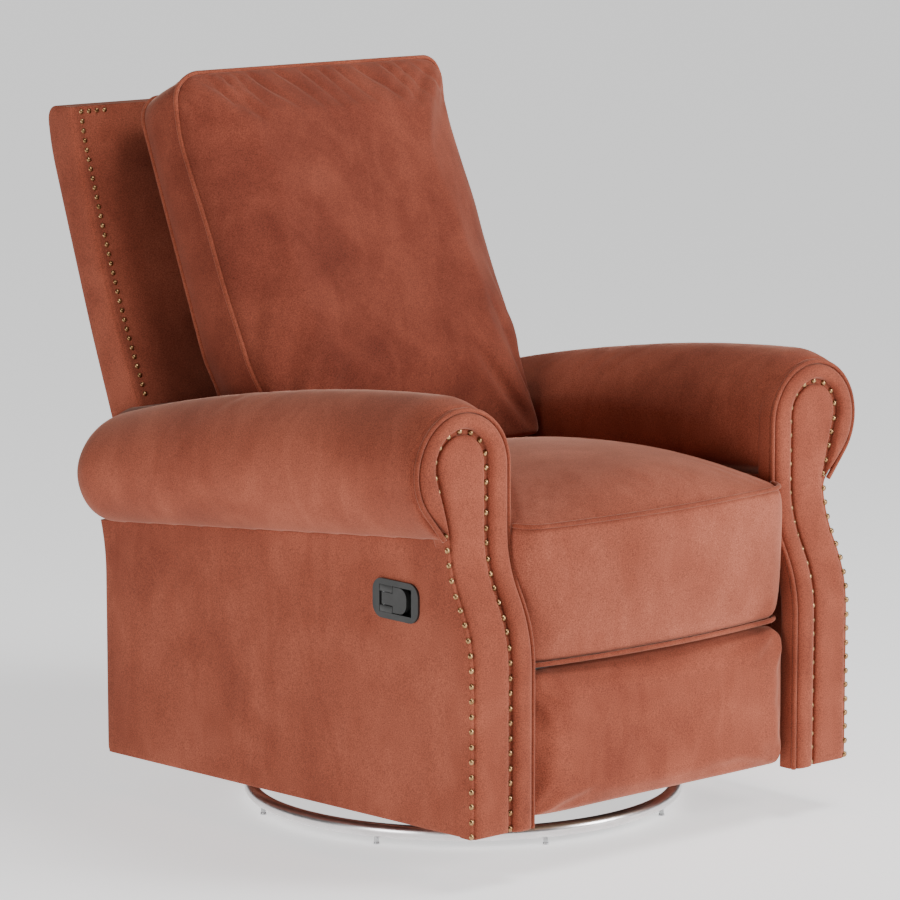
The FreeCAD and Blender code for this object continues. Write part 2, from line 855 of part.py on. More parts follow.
def front_outline(y, inset, low):
    """Closed face of the arm's front seen from ahead, drawn in by inset."""
    inset = float(inset)
    neck_x = float(arm_out) - inset
    edges = arch_edges(y, s.arm_gap.value + inset, s.roll_size.value - inset,
                       s.roll_height.value, neck_x, float(roll_neck), low)
    edges += [Part.makeLine(Vector(neck_x, y, float(roll_neck)), Vector(neck_x, y, low)),
              Part.makeLine(Vector(neck_x, y, low), Vector(s.arm_gap.value + inset, y, low))]
    return Part.Face(Part.Wire(edges))


def placard_edges(y, outset, low):
    """Outline of the nail row: balloon top over two straight sides."""
    outset = float(outset)
    radius = s.nail_arch.value + outset
    centre_x = float(roll_x)
    neck_x = float(arm_out) + outset - s.gap.value
    return arch_edges(y, centre_x - radius, radius, float(s.roll_height + s.nail_arch_rise),
                      neck_x, arm_curve_high.value, low)


def arm_low(y):
    """Height of the body's lower edge, which rises towards the front."""
    front = float(front_high)
    share = (y - front) / (s.arm_rear.value - front)
    return s.arm_bottom_front.value + share * float(s.arm_bottom_rear - s.arm_bottom_front)


def make_arm_front():
    """Board behind the arm's front, curved from side to side view and round at the top."""
    outline = front_outline(-600, 0, s.arm_bottom_front.value).extrude(Vector(0, 400, 0))
    left = shaped("arm_front_left", outline.common(front_slab(-s.arm_board, 0)))
    mirrored("arm_front_right", left)


def make_arm_placard():
    """Padded panel inside the nail rows, standing a little proud."""
    y = -600
    low = s.arm_bottom_front.value
    edges = placard_edges(y, -s.placard_inset, low)
    neck = edges[-1].Vertexes[-1].Point
    inner = edges[0].Vertexes[0].Point
    edges += [Part.makeLine(neck, Vector(neck.x, y, low)),
              Part.makeLine(Vector(neck.x, y, low), inner)]
    outline = Part.Face(Part.Wire(Part.__sortEdges__(edges))).extrude(Vector(0, 400, 0))
    left = shaped("arm_placard_left", outline.common(front_slab(s.play / 2, s.placard_rise)))
    mirrored("arm_placard_right", left)


def make_arm_border():
    """Soft raised border between the nail row and the welt, over the roll and down inside."""
    y = -600
    low = s.arm_bottom_front.value
    outer = front_outline(y, s.welt_wire * 2 + s.play, low)
    clear = s.nail_head + s.gap
    edges = placard_edges(y, clear, low)
    neck = edges[-1].Vertexes[-1].Point
    inner = edges[0].Vertexes[0].Point
    side = Vector(float(arm_out + s.roll_size), y, neck.z)
    edges += [Part.makeLine(neck, side), Part.makeLine(side, Vector(side.x, y, low)),
              Part.makeLine(Vector(side.x, y, low), inner)]
    hole = Part.Face(Part.Wire(Part.__sortEdges__(edges)))
    ring = outer.cut(hole).extrude(Vector(0, 400, 0))
    body = ring.common(front_slab(s.play / 2, s.border_rise))
    solid = max(body.Solids, key=lambda item: item.Volume)
    left = shaped("arm_border_left", solid)
    mirrored("arm_border_right", left)


def make_arm_welt():
    """Piping round the arm's front: up the inner edge, over the roll and down to the neck."""
    inset = s.welt_wire
    ahead = s.welt_wire + s.play
    inner_x = float(s.arm_gap + inset)
    y = float(front_high - ahead)
    edges = front_edges(inner_x, s.arm_bottom_front, arm_curve_high + 1, ahead)
    edges += arch_edges(y, inner_x, float(s.roll_size - inset), s.roll_height.value,
                        float(arm_out + s.nail_head * 2), float(arm_curve_high),
                        float(arm_curve_high) + 1)
    left = shaped("arm_welt_left", tube_along(edges, s.welt_wire))
    mirrored("arm_welt_right", left)


def nail(place_at, outward, radius, tall):
    """Low dome with its flat face on the cloth."""
    sphere_size = (radius * radius + tall * tall) / (2 * tall)
    arc = Part.Arc(Vector(radius, 0, 0),
                   Vector(sphere_size * math.sin(math.asin(radius / sphere_size) / 2), 0,
                          tall - sphere_size * (1 - math.cos(math.asin(radius / sphere_size) / 2))),
                   Vector(0, 0, tall)).toShape()
    face = Part.Face(Part.Wire([arc, Part.makeLine(Vector(0, 0, tall), Vector(0, 0, 0)),
                                Part.makeLine(Vector(0, 0, 0), Vector(radius, 0, 0))]))
    dome = face.revolve(Vector(0, 0, 0), Vector(0, 0, 1), 360)
    dome.Placement = FreeCAD.Placement(place_at, Rotation(Vector(0, 0, 1), outward))
    return dome


def make_arm_nails():
    """Nail heads round both placards, evenly spaced along the curved front."""
    ahead = s.play.value / 2
    y = float(front_high) - ahead
    low = s.arm_bottom_front.value + s.nail_head.value
    top_edges = placard_edges(y, 0, float(arm_curve_high) + 1)
    inner_x = top_edges[0].Vertexes[0].Point.x
    outer_x = top_edges[-1].Vertexes[-1].Point.x
    edges = front_edges(inner_x, low, arm_curve_high + 1, ahead) + top_edges
    edges += front_edges(outer_x, low, arm_curve_high, ahead)
    path = Part.Wire(Part.__sortEdges__(edges))
    count = round(path.Length / s.nail_pitch.value) + 1
    nails = []
    for spot in path.discretize(Number=count):
        tilt = front_tilt(spot.z)
        outward = Vector(0, -math.cos(tilt), math.sin(tilt))
        dome = nail(spot, outward, s.nail_head.value, s.nail_tall.value)
        nails += [dome, mirror_shape(dome)]
    group_of("arm_nails", nails)


def roll_under(y):
    """Height of the fold under the roll, where it meets the outer panel."""
    return roll_neck.value - s.roll_neck_fall.value * (y - float(front_high))


def roll_top(y):
    """Height of the roll's top, which falls towards the rear in a slow curve."""
    back = max(y - float(front_high + s.roll_peak_back), 0.0)
    rise = min(max((y - float(front_high)) / s.roll_peak_back.value, 0.0), 1.0)
    start = float(s.roll_height + s.roll_size)
    peak = start + (s.roll_peak.value - start) * rise
    return peak - s.roll_slope.value * back - s.roll_bend.value * back * back


def roll_section(y, top, under, shrink):
    """Cross-section of the roll: round outside and on top, flat where it sits on the arm."""
    centre_x = float(roll_x)
    size = s.roll_size.value
    centre_z = under + (top - under) * float((s.roll_height - roll_neck)
                                             / (s.roll_height + s.roll_size - roll_neck))
    rise = top - centre_z
    fall = centre_z - under
    neck = Vector(float(arm_out) + s.gap.value, y, under)
    inner_low = Vector(centre_x - size + 3, y, centre_z - fall * 0.72)
    slant = math.cos(math.radians(45))
    points = [neck, Vector(centre_x + size * slant + 3, y, centre_z - fall * 0.66),
              Vector(centre_x + size, y, centre_z),
              Vector(centre_x + size * slant, y, centre_z + rise * slant),
              Vector(centre_x, y, top),
              Vector(centre_x - size * slant, y, centre_z + rise * slant),
              Vector(centre_x - size, y, centre_z), inner_low]
    pivot = Vector(centre_x, y, centre_z - fall * 0.15)
    points = [pivot + (p - pivot) * shrink for p in points]
    edges = [Part.Arc(points[0], points[1], points[2]).toShape(),
             Part.Arc(points[2], points[3], points[4]).toShape(),
             Part.Arc(points[4], points[5], points[6]).toShape(),
             Part.makeLine(points[6], points[7]), Part.makeLine(points[7], points[0])]
    return Part.Wire(edges)


def make_arm_roll():
    """Padded roll on top of the arm, swelling behind its front and rounded at the rear."""
    start = float(front_high + s.arm_board + s.play)
    rear = s.roll_rear.value
    dome = s.roll_dome.value
    stations = [(start + (rear - dome - start) * k / 8, 1.0) for k in range(9)]
    for turn in (25, 45, 62, 76, 88):
        angle = math.radians(turn)
        stations.append((rear - dome * (1 - math.sin(angle)), 0.3 + 0.7 * math.cos(angle)))
    sections = [roll_section(y, roll_top(y), roll_under(y), shrink) for y, shrink in stations]
    left = shaped("arm_roll_left", Part.makeLoft(sections, True, True))
    mirrored("arm_roll_right", left)


def make_arm_panels():
    """Upholstered outer and inner panels, the outer one folded round the rear of the arm."""
    gap = s.play.value
    wall = s.panel.value
    rear = s.arm_rear.value
    front = float(s.arm_front_low + s.arm_board + s.play)
    high = float(s.roll_height + s.roll_size * 2)
    above = Part.Face(Part.makePolygon([
        Vector(0, front - rear, roll_under(front - rear) - gap),
        Vector(0, rear * 2, roll_under(rear * 2) - gap),
        Vector(0, rear * 2, high), Vector(0, front - rear, high),
        Vector(0, front - rear, roll_under(front - rear) - gap)]))
    above = above.extrude(Vector(float(arm_out + s.roll_size * 2), 0, 0))
    ahead = front_slab(-s.arm_board - s.play, s.roll_size * 2)

    def panel(inner_x, end):
        """Upright panel from the arm's front board to end, under the roll."""
        face = Part.Face(Part.makePolygon([
            Vector(inner_x, front, arm_low(front)), Vector(inner_x, front, high), Vector(inner_x, end, high),
            Vector(inner_x, end, arm_low(end)), Vector(inner_x, front, arm_low(front))]))
        return face.extrude(Vector(wall, 0, 0)).cut(above).cut(ahead)

    fold = box_between((s.arm_gap, arm_out - wall), (rear - wall, rear),
                       (arm_low(rear), roll_under(rear) - gap))
    outer = panel(float(arm_out) - wall, rear).fuse(fold).removeSplitter()
    left = shaped("arm_outer_left", outer)

    inner_left = shaped("arm_inner_left", panel(s.arm_gap.value, rear - wall - gap))

    opening = box_between((-arm_out - 1, -arm_out + s.panel + 1),
                          (s.handle_place - s.handle_recess_long / 2 - s.handle_lip / 2 - s.play,
                           s.handle_place + s.handle_recess_long / 2 + s.handle_lip / 2 + s.play),
                          (s.handle_height - s.handle_recess_tall / 2 - s.handle_lip / 3 - s.play,
                           s.handle_height + s.handle_recess_tall / 2 + s.handle_lip / 3 + s.play))
    shaped("arm_outer_right", mirror_shape(left.Shape).cut(opening))
    cable_hole = rod(-s.arm_gap - s.panel - 1, -s.arm_gap + 1, s.cable_exit_place, s.cable_exit_height,
                     s.cable * 2)
    shaped("arm_inner_right", mirror_shape(inner_left.Shape).cut(cable_hole))


def make_rear_panel():
    """Upholstered panel between the arms, low behind the seat."""
    corners = [(s.arm_rear - s.panel, s.arm_bottom_rear), (s.arm_rear, s.arm_bottom_rear),
               (s.arm_rear, s.back_low + s.gap * 5),
               (s.arm_rear - s.panel, s.back_low + s.gap * 5)]
    cross_board("rear_panel", corners, s.arm_gap - s.play)


# Release handle and its cable
def make_handle():
    """Plastic housing with a finger recess, its pull paddle, and the paddle's pin."""
    face = -arm_out - s.handle_proud
    y = s.handle_place
    z = s.handle_height
    half_long = s.handle_long / 2
    half_tall = s.handle_tall / 2
    lip = box_between((face, -arm_out), (y - half_long, y + half_long), (z - half_tall, z + half_tall))
    lip = lip.makeFillet(s.handle_tall.value / 3, [e for e in lip.Edges if is_along_x(e)])
    cup_long = s.handle_recess_long / 2 + s.handle_lip / 2
    cup_tall = s.handle_recess_tall / 2 + s.handle_lip / 3
    cup = box_between((-arm_out, -arm_out + s.handle_deep), (y - cup_long, y + cup_long),
                      (z - cup_tall, z + cup_tall))
    recess = box_between((face - 1, face + s.handle_recess_deep),
                         (y - s.handle_recess_long / 2, y + s.handle_recess_long / 2),
                         (z - s.handle_recess_tall / 2, z + s.handle_recess_tall / 2))
    housing = lip.fuse(cup).cut(recess).removeSplitter()
    rear = y + s.handle_recess_long / 2
    pin_y = rear - s.cable * 2
    pin_x = face + s.paddle_thick / 2 + s.gap
    pin_tall = float(s.handle_recess_tall + s.handle_lip / 3)
    pin_foot = Vector(float(pin_x), float(pin_y), float(z) - pin_tall / 2)
    pin_hole = Part.makeCylinder(s.cable.value, pin_tall, pin_foot)
    shaped("handle_housing", housing.cut(pin_hole))
    pin = Part.makeCylinder(float(s.cable - s.play / 3), pin_tall - s.play.value,
                            pin_foot + Vector(0, 0, s.play.value / 2))
    shaped("paddle_pin", pin)

    inner = face + s.gap + s.paddle_thick
    stem_end = rear - s.cable * 2
    pull_rear = rear - s.gap * 2 - s.paddle_stem - s.cable
    pull_front = y - s.handle_recess_long / 2 + s.finger_gap
    pull_half = s.handle_recess_tall / 2 - s.gap
    stem = box_between((face + s.gap, inner), (pull_rear - 1, stem_end),
                       (z - s.paddle_stem_tall / 2, z + s.paddle_stem_tall / 2))
    knuckle = Part.makeCylinder(float(s.paddle_thick / 2), s.paddle_stem_tall.value,
                                Vector(float(pin_x), float(pin_y), float(z - s.paddle_stem_tall / 2)))
    pull = box_between((face + s.gap, inner), (pull_front, pull_rear), (z - pull_half, z + pull_half))
    front_corners = [e for e in pull.Edges if is_along_x(e) and e.CenterOfMass.y < float(pull_front) + 1]
    pull = pull.makeFillet(float(pull_half) * 0.8, front_corners)
    paddle = stem.fuse([knuckle, pull]).removeSplitter()
    bore = Part.makeCylinder(float(s.cable + s.play / 3), s.paddle_stem_tall.value + 2,
                             Vector(float(pin_x), float(pin_y), float(z - s.paddle_stem_tall / 2) - 1))
    shaped("release_paddle", paddle.cut(bore))


def is_along_x(edge):
    """Whether a straight edge runs across the chair."""
    if len(edge.Vertexes) < 2:
        return False
    run = edge.Vertexes[1].Point - edge.Vertexes[0].Point
    return abs(run.x) > 0.99 * run.Length


def make_release_cable():
    """Cable from the handle's cup through the inner panel to the side plate."""
    start_x = float(-arm_out + s.handle_deep + s.play)
    y = s.handle_place.value
    z = s.handle_height.value
    end_x = float(-s.plate_place - s.steel - s.play)
    turn_x = float(-s.arm_gap - s.panel - s.cable * 8)
    exit_y = s.cable_exit_place.value
    exit_z = s.cable_exit_height.value
    points = [Vector(start_x, y, z), Vector(start_x + 26, y, z), Vector(turn_x - 12, y + 60, z - 48),
              Vector(turn_x - 5, exit_y - 50, exit_z + 12), Vector(turn_x, exit_y, exit_z),
              Vector(end_x, exit_y, exit_z)]
    shaped("release_cable", tube_along(rounded_path(points), s.cable))


# Back
def back_front(z):
    """Depth of the back's front face at a height."""
    return s.back_front_base + s.back_front_lean * (z - s.back_base_height)


def back_rear(z):
    """Depth of the back's rear face at a height."""
    return s.back_rear_base + s.back_rear_lean * (z - s.back_base_height)


def back_profile(low, top, inset):
    """Side view of the back between two heights, drawn in by inset."""
    return [(back_front(low) + inset, low), (back_rear(low) - inset, low),
            (back_rear(top) - inset, top), (back_front(top) + inset, top)]


def make_back_cover():
    """Upholstered shell of the back: wide wings above the arms, narrow between them."""
    body = new_body("back_cover")
    sketch = new_sketch(body, "YZ_Plane", name="Outer")
    draw_outline(sketch, back_profile(s.back_low, s.back_top, 0))
    pad(body, sketch, s.back_wide * 2, midplane=True, name="Blank")
    side_cut = new_sketch(body, "YZ_Plane", s.back_narrow, name="UnderWing")
    draw_outline(side_cut, wing_clearance())
    pocket(body, side_cut, s.back_wide - s.back_narrow + s.gap, reversed_=True, name="UnderLeft")
    other_cut = new_sketch(body, "YZ_Plane", -s.back_narrow, name="UnderOther")
    draw_outline(other_cut, wing_clearance())
    pocket(body, other_cut, s.back_wide - s.back_narrow + s.gap, name="UnderRight")
    top_edges = [f"Edge{i + 1}" for i, e in enumerate(body.Shape.Edges) if is_rear_top(e)]
    blank = body.Tip
    fillet = body.newObject("PartDesign::Fillet", "back_cover_Round")
    fillet.Base = (blank, top_edges)
    bind(fillet, "Radius", s.back_round)
    doc.recompute()
    cavity = new_sketch(body, "YZ_Plane", name="Inner")
    draw_outline(cavity, back_profile(s.back_low + s.back_wall, s.back_top - s.back_wall * 1.5,
                                      s.back_wall))
    pocket(body, cavity, (s.back_narrow - s.back_wall) * 2, midplane=True, name="Hollow")


def wing_clearance():
    """Region under the wings that stays free for the arm rolls."""
    front = back_front(s.wing_front_height)
    rear = back_rear(s.wing_rear_height)
    return [(front - s.back_wall, s.wing_front_height + s.gap * 3), (front, s.wing_front_height),
            (rear, s.wing_rear_height), (rear + s.back_wall, s.wing_rear_height - s.gap * 3),
            (rear, s.back_low - s.gap * 9), (back_front(s.back_low) - s.back_wall, s.back_low - s.gap * 9)]


def is_rear_top(edge):
    """The long edge at the top and rear of the back."""
    middle = edge.CenterOfMass
    is_at_rear = middle.y > float(back_rear(s.back_top)) - 1
    return is_along_x(edge) and middle.z > s.back_top.value - 1 and is_at_rear


def make_back_frame():
    """Wooden frame inside the shell: four rails round an open middle."""
    body = new_body("back_frame")
    low = s.back_low + s.back_wall + s.play
    top = s.back_top - s.back_wall * 1.5 - s.play
    inset = s.back_wall + s.play
    sketch = new_sketch(body, "YZ_Plane", name="Side")
    draw_outline(sketch, back_profile(low, top, inset))
    half = s.back_narrow - s.back_wall - s.play
    pad(body, sketch, half * 2, midplane=True)
    opening = new_sketch(body, "XZ_Plane", name="Opening")
    inner = half - s.frame_wood * 1.6
    draw_outline(opening, [(inner, low + s.frame_wood * 2), (-inner, low + s.frame_wood * 2),
                           (-inner, top - s.frame_wood * 2), (inner, top - s.frame_wood * 2)])
    pocket(body, opening, s.back_wide * 4, midplane=True)


def cushion_section(share, half, fullness):
    """Level section of the back cushion: crowned in front, and behind to where it meets the back."""
    height = s.cushion_low + (s.cushion_top - s.cushion_low) * share
    z = height.value
    crown = s.cushion_crown.value * fullness
    front = s.cushion_front_low.value + share * float(s.cushion_front_top - s.cushion_front_low)
    rear = s.cushion_rear_low.value + share * float(s.cushion_rear_top - s.cushion_rear_low)
    rear_crown = (float(back_front(height) - s.play) - rear) * min(fullness * 1.02, 1)
    half = float(half)
    points = [Vector(-half, front, z), Vector(0, front - crown, z), Vector(half, front, z),
              Vector(half + 1.5, (front + rear) / 2, z), Vector(half, rear, z),
              Vector(0, rear + rear_crown, z), Vector(-half, rear, z),
              Vector(-half - 1.5, (front + rear) / 2, z)]
    edges = [Part.Arc(points[0], points[1], points[2]).toShape(),
             Part.Arc(points[2], points[3], points[4]).toShape(),
             Part.Arc(points[4], points[5], points[6]).toShape(),
             Part.Arc(points[6], points[7], points[0]).toShape()]
    return Part.Wire(edges)


def make_back_cushion():
    """Box cushion with a full front, narrower where it sits between the arms."""
    narrow = s.arm_gap - s.seat_side_gap - s.gap * 2
    stations = []
    for share in [station / 12 for station in range(12)] + [0.965, 1]:
        half = narrow if share < 0.25 else s.cushion_wide - s.cushion_corner * (share == 1)
        fullness = math.sin(math.pi * (0.12 + 0.8 * share))
        stations.append((share, half, fullness))
    sections = [cushion_section(*station) for station in stations]
    shaped("back_cushion", Part.makeLoft(sections, True, True))


def make_back_welts():
    """Piping round the front and the rear edge of the back cushion."""
    welts = []
    out = s.welt_wire.value + s.play.value + 1.5
    sides = ((s.cushion_front_low, s.cushion_front_top), (s.cushion_rear_low, s.cushion_rear_top))
    for low_y, top_y in sides:
        lean = float(top_y - low_y) / float(s.cushion_top - s.cushion_low)
        half = s.cushion_wide.value + out
        low_z = float(s.roll_height + s.roll_size)
        top_z = float(s.cushion_top + s.welt_wire + s.play)
        start = float(low_y) + lean * (low_z - s.cushion_low.value)
        end = float(low_y) + lean * (top_z - s.cushion_low.value)
        points = [Vector(-half, start, low_z), Vector(-half, end, top_z),
                  Vector(half, end, top_z), Vector(half, start, low_z)]
        welts.append(tube_along(rounded_path(points, 0.06), s.welt_wire))
    group_of("back_welts", welts)


def make_back_nails():
    """Small nails down both edges of the back's front face, with a short row at the top."""
    lean = math.atan(s.back_front_lean.value)
    outward = Vector(0, -math.cos(lean), math.sin(lean))
    x = float(s.back_wide - s.back_nail_inset)
    top = float(s.back_top - s.back_nail_drop)
    low = float(s.wing_front_height + s.back_nail_drop)
    pitch = s.back_nail_pitch.value
    count = int((top - low) / math.cos(lean) / pitch) + 1
    spots = [(x, top - pitch * math.cos(lean) * k) for k in range(count)]
    spots += [(x - pitch * k, top) for k in range(1, int(s.top_nails.value))]
    nails = []
    for across, z in spots:
        spot = Vector(across, float(back_front(Size(z, str(z)))), z) + outward * s.play.value
        dome = nail(spot, outward, s.back_nail_head.value, s.nail_tall.value * 0.7)
        nails += [dome, mirror_shape(dome)]
    group_of("back_nails", nails)


def make_back_brackets():
    """Steel straps from the pivot up the sides of the back."""
    top = s.back_low + s.frame_wood * 5
    hole = s.foot_pin + s.play
    middle_y = (back_front(top) + back_rear(top)) / 2
    strap = flat_link(s.back_narrow + s.play, s.steel, s.recline_place, s.recline_height,
                      middle_y, top, s.foot_link_wide * 1.4, [(s.recline_place, s.recline_height, hole)])
    group_of("back_brackets", [strap, mirror_shape(strap)])


# Footrest
lower_in = s.plate_place - s.gap - s.steel
upper_in = lower_in - s.gap - s.steel
bracket_in = upper_in - s.gap - s.steel


def make_footrest_links():
    """Lower links on the side plates, upper links that carry the board's brackets."""
    hole = s.foot_pin + s.play
    lower = flat_link(lower_in, s.steel, s.footrest_pivot, s.footrest_pivot_height,
                      s.elbow_place, s.elbow_height, s.foot_link_wide,
                      [(s.footrest_pivot, s.footrest_pivot_height, hole)])
    group_of("footrest_lower_links", [lower, mirror_shape(lower)])
    upper = flat_link(upper_in, s.steel, s.elbow_place, s.elbow_height, s.toe_place, s.toe_height,
                      s.foot_link_wide, [(s.elbow_place, s.elbow_height, hole)])
    group_of("footrest_upper_links", [upper, mirror_shape(upper)])
    elbow = rod(upper_in - s.gap / 2, lower_in, s.elbow_place, s.elbow_height, s.foot_pin)
    group_of("footrest_elbow_pins", [elbow, mirror_shape(elbow)])
    toe = rod(bracket_in - s.gap / 2, upper_in, s.toe_place, s.toe_height, s.foot_pin)
    group_of("footrest_toe_pins", [toe, mirror_shape(toe)])


def make_torque_tube():
    """Cross tube that makes both lower links move as one."""
    middle_y = (s.footrest_pivot + s.elbow_place) / 2
    middle_z = (s.footrest_pivot_height + s.elbow_height) / 2
    shaped("footrest_torque_tube", rod(-lower_in, lower_in, middle_y, middle_z, s.cross_tube * 0.7))


def make_footrest():
    """Padded footrest, its plywood board and the brackets behind it."""
    board_front = s.footrest_front + s.footrest_pad_thick
    board_rear = board_front + s.footrest_board_thick
    inset = s.footrest_pad_thick
    board_low = s.footrest_low + inset / 3
    board_top = s.footrest_top - inset / 3
    cross_board("footrest_board", [(board_front, board_low), (board_rear, board_low),
                                   (board_rear, board_top), (board_front, board_top)],
                s.footrest_wide - inset / 3)
    half = s.footrest_wide.value
    low = s.footrest_low.value
    top = s.footrest_top.value
    front = s.footrest_front.value
    rear = float(board_front - s.play)
    crown = s.footrest_crown.value

    def section(share):
        """Upright outline of the pad at one share of its depth, drawn in towards the front."""
        y = rear + (front - crown - rear) * share
        drawn_in = s.footrest_round.value * (1 - math.sqrt(1 - share ** 4))
        wide = half - drawn_in
        low_now = low + drawn_in
        top_now = top - drawn_in
        middle = (low + top) / 2
        bow = 1.5
        corners = [Vector(wide, y, low_now), Vector(wide, y, top_now),
                   Vector(-wide, y, top_now), Vector(-wide, y, low_now)]
        return Part.Wire([
            Part.Arc(corners[0], Vector(wide + bow, y, middle), corners[1]).toShape(),
            Part.Arc(corners[1], Vector(0, y, top_now + bow), corners[2]).toShape(),
            Part.Arc(corners[2], Vector(-wide - bow, y, middle), corners[3]).toShape(),
            Part.Arc(corners[3], Vector(0, y, low_now - bow), corners[0]).toShape()])

    sections = [section(share) for share in (0, 0.35, 0.6, 0.75, 0.86, 0.94, 1)]
    shaped("footrest_pad", Part.makeLoft(sections, True, True))

    hole = s.foot_pin + s.play
    web = flat_link(bracket_in, s.steel, s.toe_place, s.toe_height, s.toe_place,
                    s.toe_height + s.foot_link_wide * 3, s.foot_link_wide, [])
    keep = box_between((bracket_in - 1, bracket_in + s.steel + 1), (board_rear, board_rear + 60), (0, 600))
    heights = (s.toe_height - s.foot_link_wide / 2, s.toe_height + s.foot_link_wide * 3)
    strip = box_between((bracket_in, bracket_in + s.steel), (board_rear, s.toe_place), heights)
    foot_ends = (bracket_in - s.foot_link_wide, bracket_in + s.steel)
    foot = box_between(foot_ends, (board_rear, board_rear + s.steel), heights)
    bracket = web.common(keep).fuse([strip, foot]).removeSplitter()
    bracket = bracket.cut(rod(bracket_in - 1, bracket_in + s.steel + 1, s.toe_place, s.toe_height, hole))
    group_of("footrest_brackets", [bracket, mirror_shape(bracket)])


def make_all():
    make_base_ring()
    make_base_glides()
    make_base_cross()
    make_swivel_hub()
    make_hub_bolts()
    make_swivel_bearing()
    make_swivel_plate()
    make_glider_brackets()
    make_glider_pins()
    make_glider_links("glider_links_front", -1)
    make_glider_links("glider_links_rear", 1)
    make_glider_rails()
    make_mechanism_plates()
    make_cross_tubes()
    make_pivot_pins()
    make_seat_rails()
    make_seat_springs()
    make_seat_cushion()
    make_seat_welts()
    make_arm_front()
    make_arm_placard()
    make_arm_border()
    make_arm_welt()
    make_arm_nails()
    make_arm_roll()
    make_arm_panels()
    make_rear_panel()
    make_handle()
    make_release_cable()
    make_back_cover()
    make_back_frame()
    make_back_cushion()
    make_back_welts()
    make_back_nails()
    make_back_brackets()
    make_footrest_links()
    make_torque_tube()
    make_footrest()


NODES = [
    "base_ring", "base_glides", "base_cross", "swivel_hub", "hub_bolts", "swivel_bearing",
    "swivel_plate", "glider_brackets", "glider_upper_pins", "glider_links_front", "glider_links_rear",
    "glider_lower_pins", "glider_rails", "mechanism_plate_left", "mechanism_plate_right",
    "mechanism_cross_tubes", "footrest_pivot_pins", "recline_pins", "seat_side_rails",
    "seat_front_rail", "seat_rear_rail", "seat_springs", "seat_cushion", "seat_welts",
    "arm_front_left", "arm_front_right", "arm_placard_left", "arm_placard_right",
    "arm_border_left", "arm_border_right", "arm_welt_left", "arm_welt_right", "arm_nails",
    "arm_roll_left", "arm_roll_right", "arm_outer_left", "arm_outer_right", "arm_inner_left",
    "arm_inner_right", "rear_panel", "handle_housing", "paddle_pin", "release_paddle",
    "release_cable", "back_cover", "back_frame", "back_cushion", "back_welts", "back_nails",
    "back_brackets", "footrest_lower_links", "footrest_upper_links", "footrest_elbow_pins",
    "footrest_toe_pins", "footrest_torque_tube", "footrest_board", "footrest_pad",
    "footrest_brackets",
]

make_all()
doc.recompute()

for item in doc.Objects:
    if "Invalid" in item.State or "Error" in item.State:
        raise ValueError(f"{item.Name} failed: {item.State}")

os.makedirs("parts", exist_ok=True)
for name in NODES:
    shape = doc.getObject(name).Shape
    if shape.isNull() or not shape.isValid():
        raise ValueError(f"{name} has no valid shape")
    shape.exportStep(f"parts/{name}.step")
print(len(NODES), "sub-parts written")
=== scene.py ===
# %% [markdown]
# # A swivel glider recliner in velvet
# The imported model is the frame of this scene: steel ring, swivel, glider, footrest links and
# the wooden parts keep their own meshes and only get a finish here. Everything that is
# upholstered is made new, because cloth over foam is never as flat as the solid that stands for it.

# %% Load the frame
import json
import math

import bmesh
import bpy
from mathutils import Matrix, Vector, noise
from mathutils.kdtree import KDTree


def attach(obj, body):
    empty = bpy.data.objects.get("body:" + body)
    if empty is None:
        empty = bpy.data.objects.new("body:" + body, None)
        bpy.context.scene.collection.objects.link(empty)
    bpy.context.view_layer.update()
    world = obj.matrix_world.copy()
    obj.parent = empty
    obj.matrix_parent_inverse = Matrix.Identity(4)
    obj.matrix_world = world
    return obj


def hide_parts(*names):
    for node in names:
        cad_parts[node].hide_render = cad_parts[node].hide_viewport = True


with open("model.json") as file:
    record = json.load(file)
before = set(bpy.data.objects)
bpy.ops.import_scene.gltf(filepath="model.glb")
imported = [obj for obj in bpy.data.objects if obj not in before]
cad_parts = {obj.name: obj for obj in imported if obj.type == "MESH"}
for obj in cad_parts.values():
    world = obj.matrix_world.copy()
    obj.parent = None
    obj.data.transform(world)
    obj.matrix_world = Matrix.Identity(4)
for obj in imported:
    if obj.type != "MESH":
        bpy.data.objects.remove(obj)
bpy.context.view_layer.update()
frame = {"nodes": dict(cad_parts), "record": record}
MM = 0.001

# %% [markdown]
# ## Camera
# The photograph was taken from well away with a long lens, from the sitter's right and a little
# above the arms. The lens and the place come from fitting known heights and widths of the chair.

# %% Camera
CAMERA_PLACE = Vector((-4.3326, -4.8825, 1.5963))
CAMERA_AZIMUTH = math.radians(-41.91)
CAMERA_ELEVATION = math.radians(9.41)
FOCAL_PIXELS = 4521
IMAGE_PIXELS = 900
CENTRE_OFFSET = (16.2, -3.3)

camera_data = bpy.data.cameras.new("photograph_camera")
camera_data.sensor_width = 36
camera_data.lens = camera_data.sensor_width * FOCAL_PIXELS / IMAGE_PIXELS
camera_data.shift_x = -CENTRE_OFFSET[0] / IMAGE_PIXELS
camera_data.shift_y = CENTRE_OFFSET[1] / IMAGE_PIXELS
camera = bpy.data.objects.new("photograph_camera", camera_data)
bpy.context.scene.collection.objects.link(camera)
towards_camera = Vector((math.sin(CAMERA_AZIMUTH) * math.cos(CAMERA_ELEVATION),
                         -math.cos(CAMERA_AZIMUTH) * math.cos(CAMERA_ELEVATION),
                         math.sin(CAMERA_ELEVATION)))
camera.location = CAMERA_PLACE
camera.rotation_euler = (-towards_camera).to_track_quat("-Z", "Y").to_euler()
bpy.context.scene.camera = camera
print("lens", round(camera_data.lens, 1), "mm")

# %% [markdown]
# ## Floor and light
# A plain pale floor that glows a little, as a lit studio sweep does, and three soft lights: a
# key from the front and the sitter's left, a low fill from the camera's side that one arm
# keeps off the other, and a weaker one from above for the rolls and the seat.

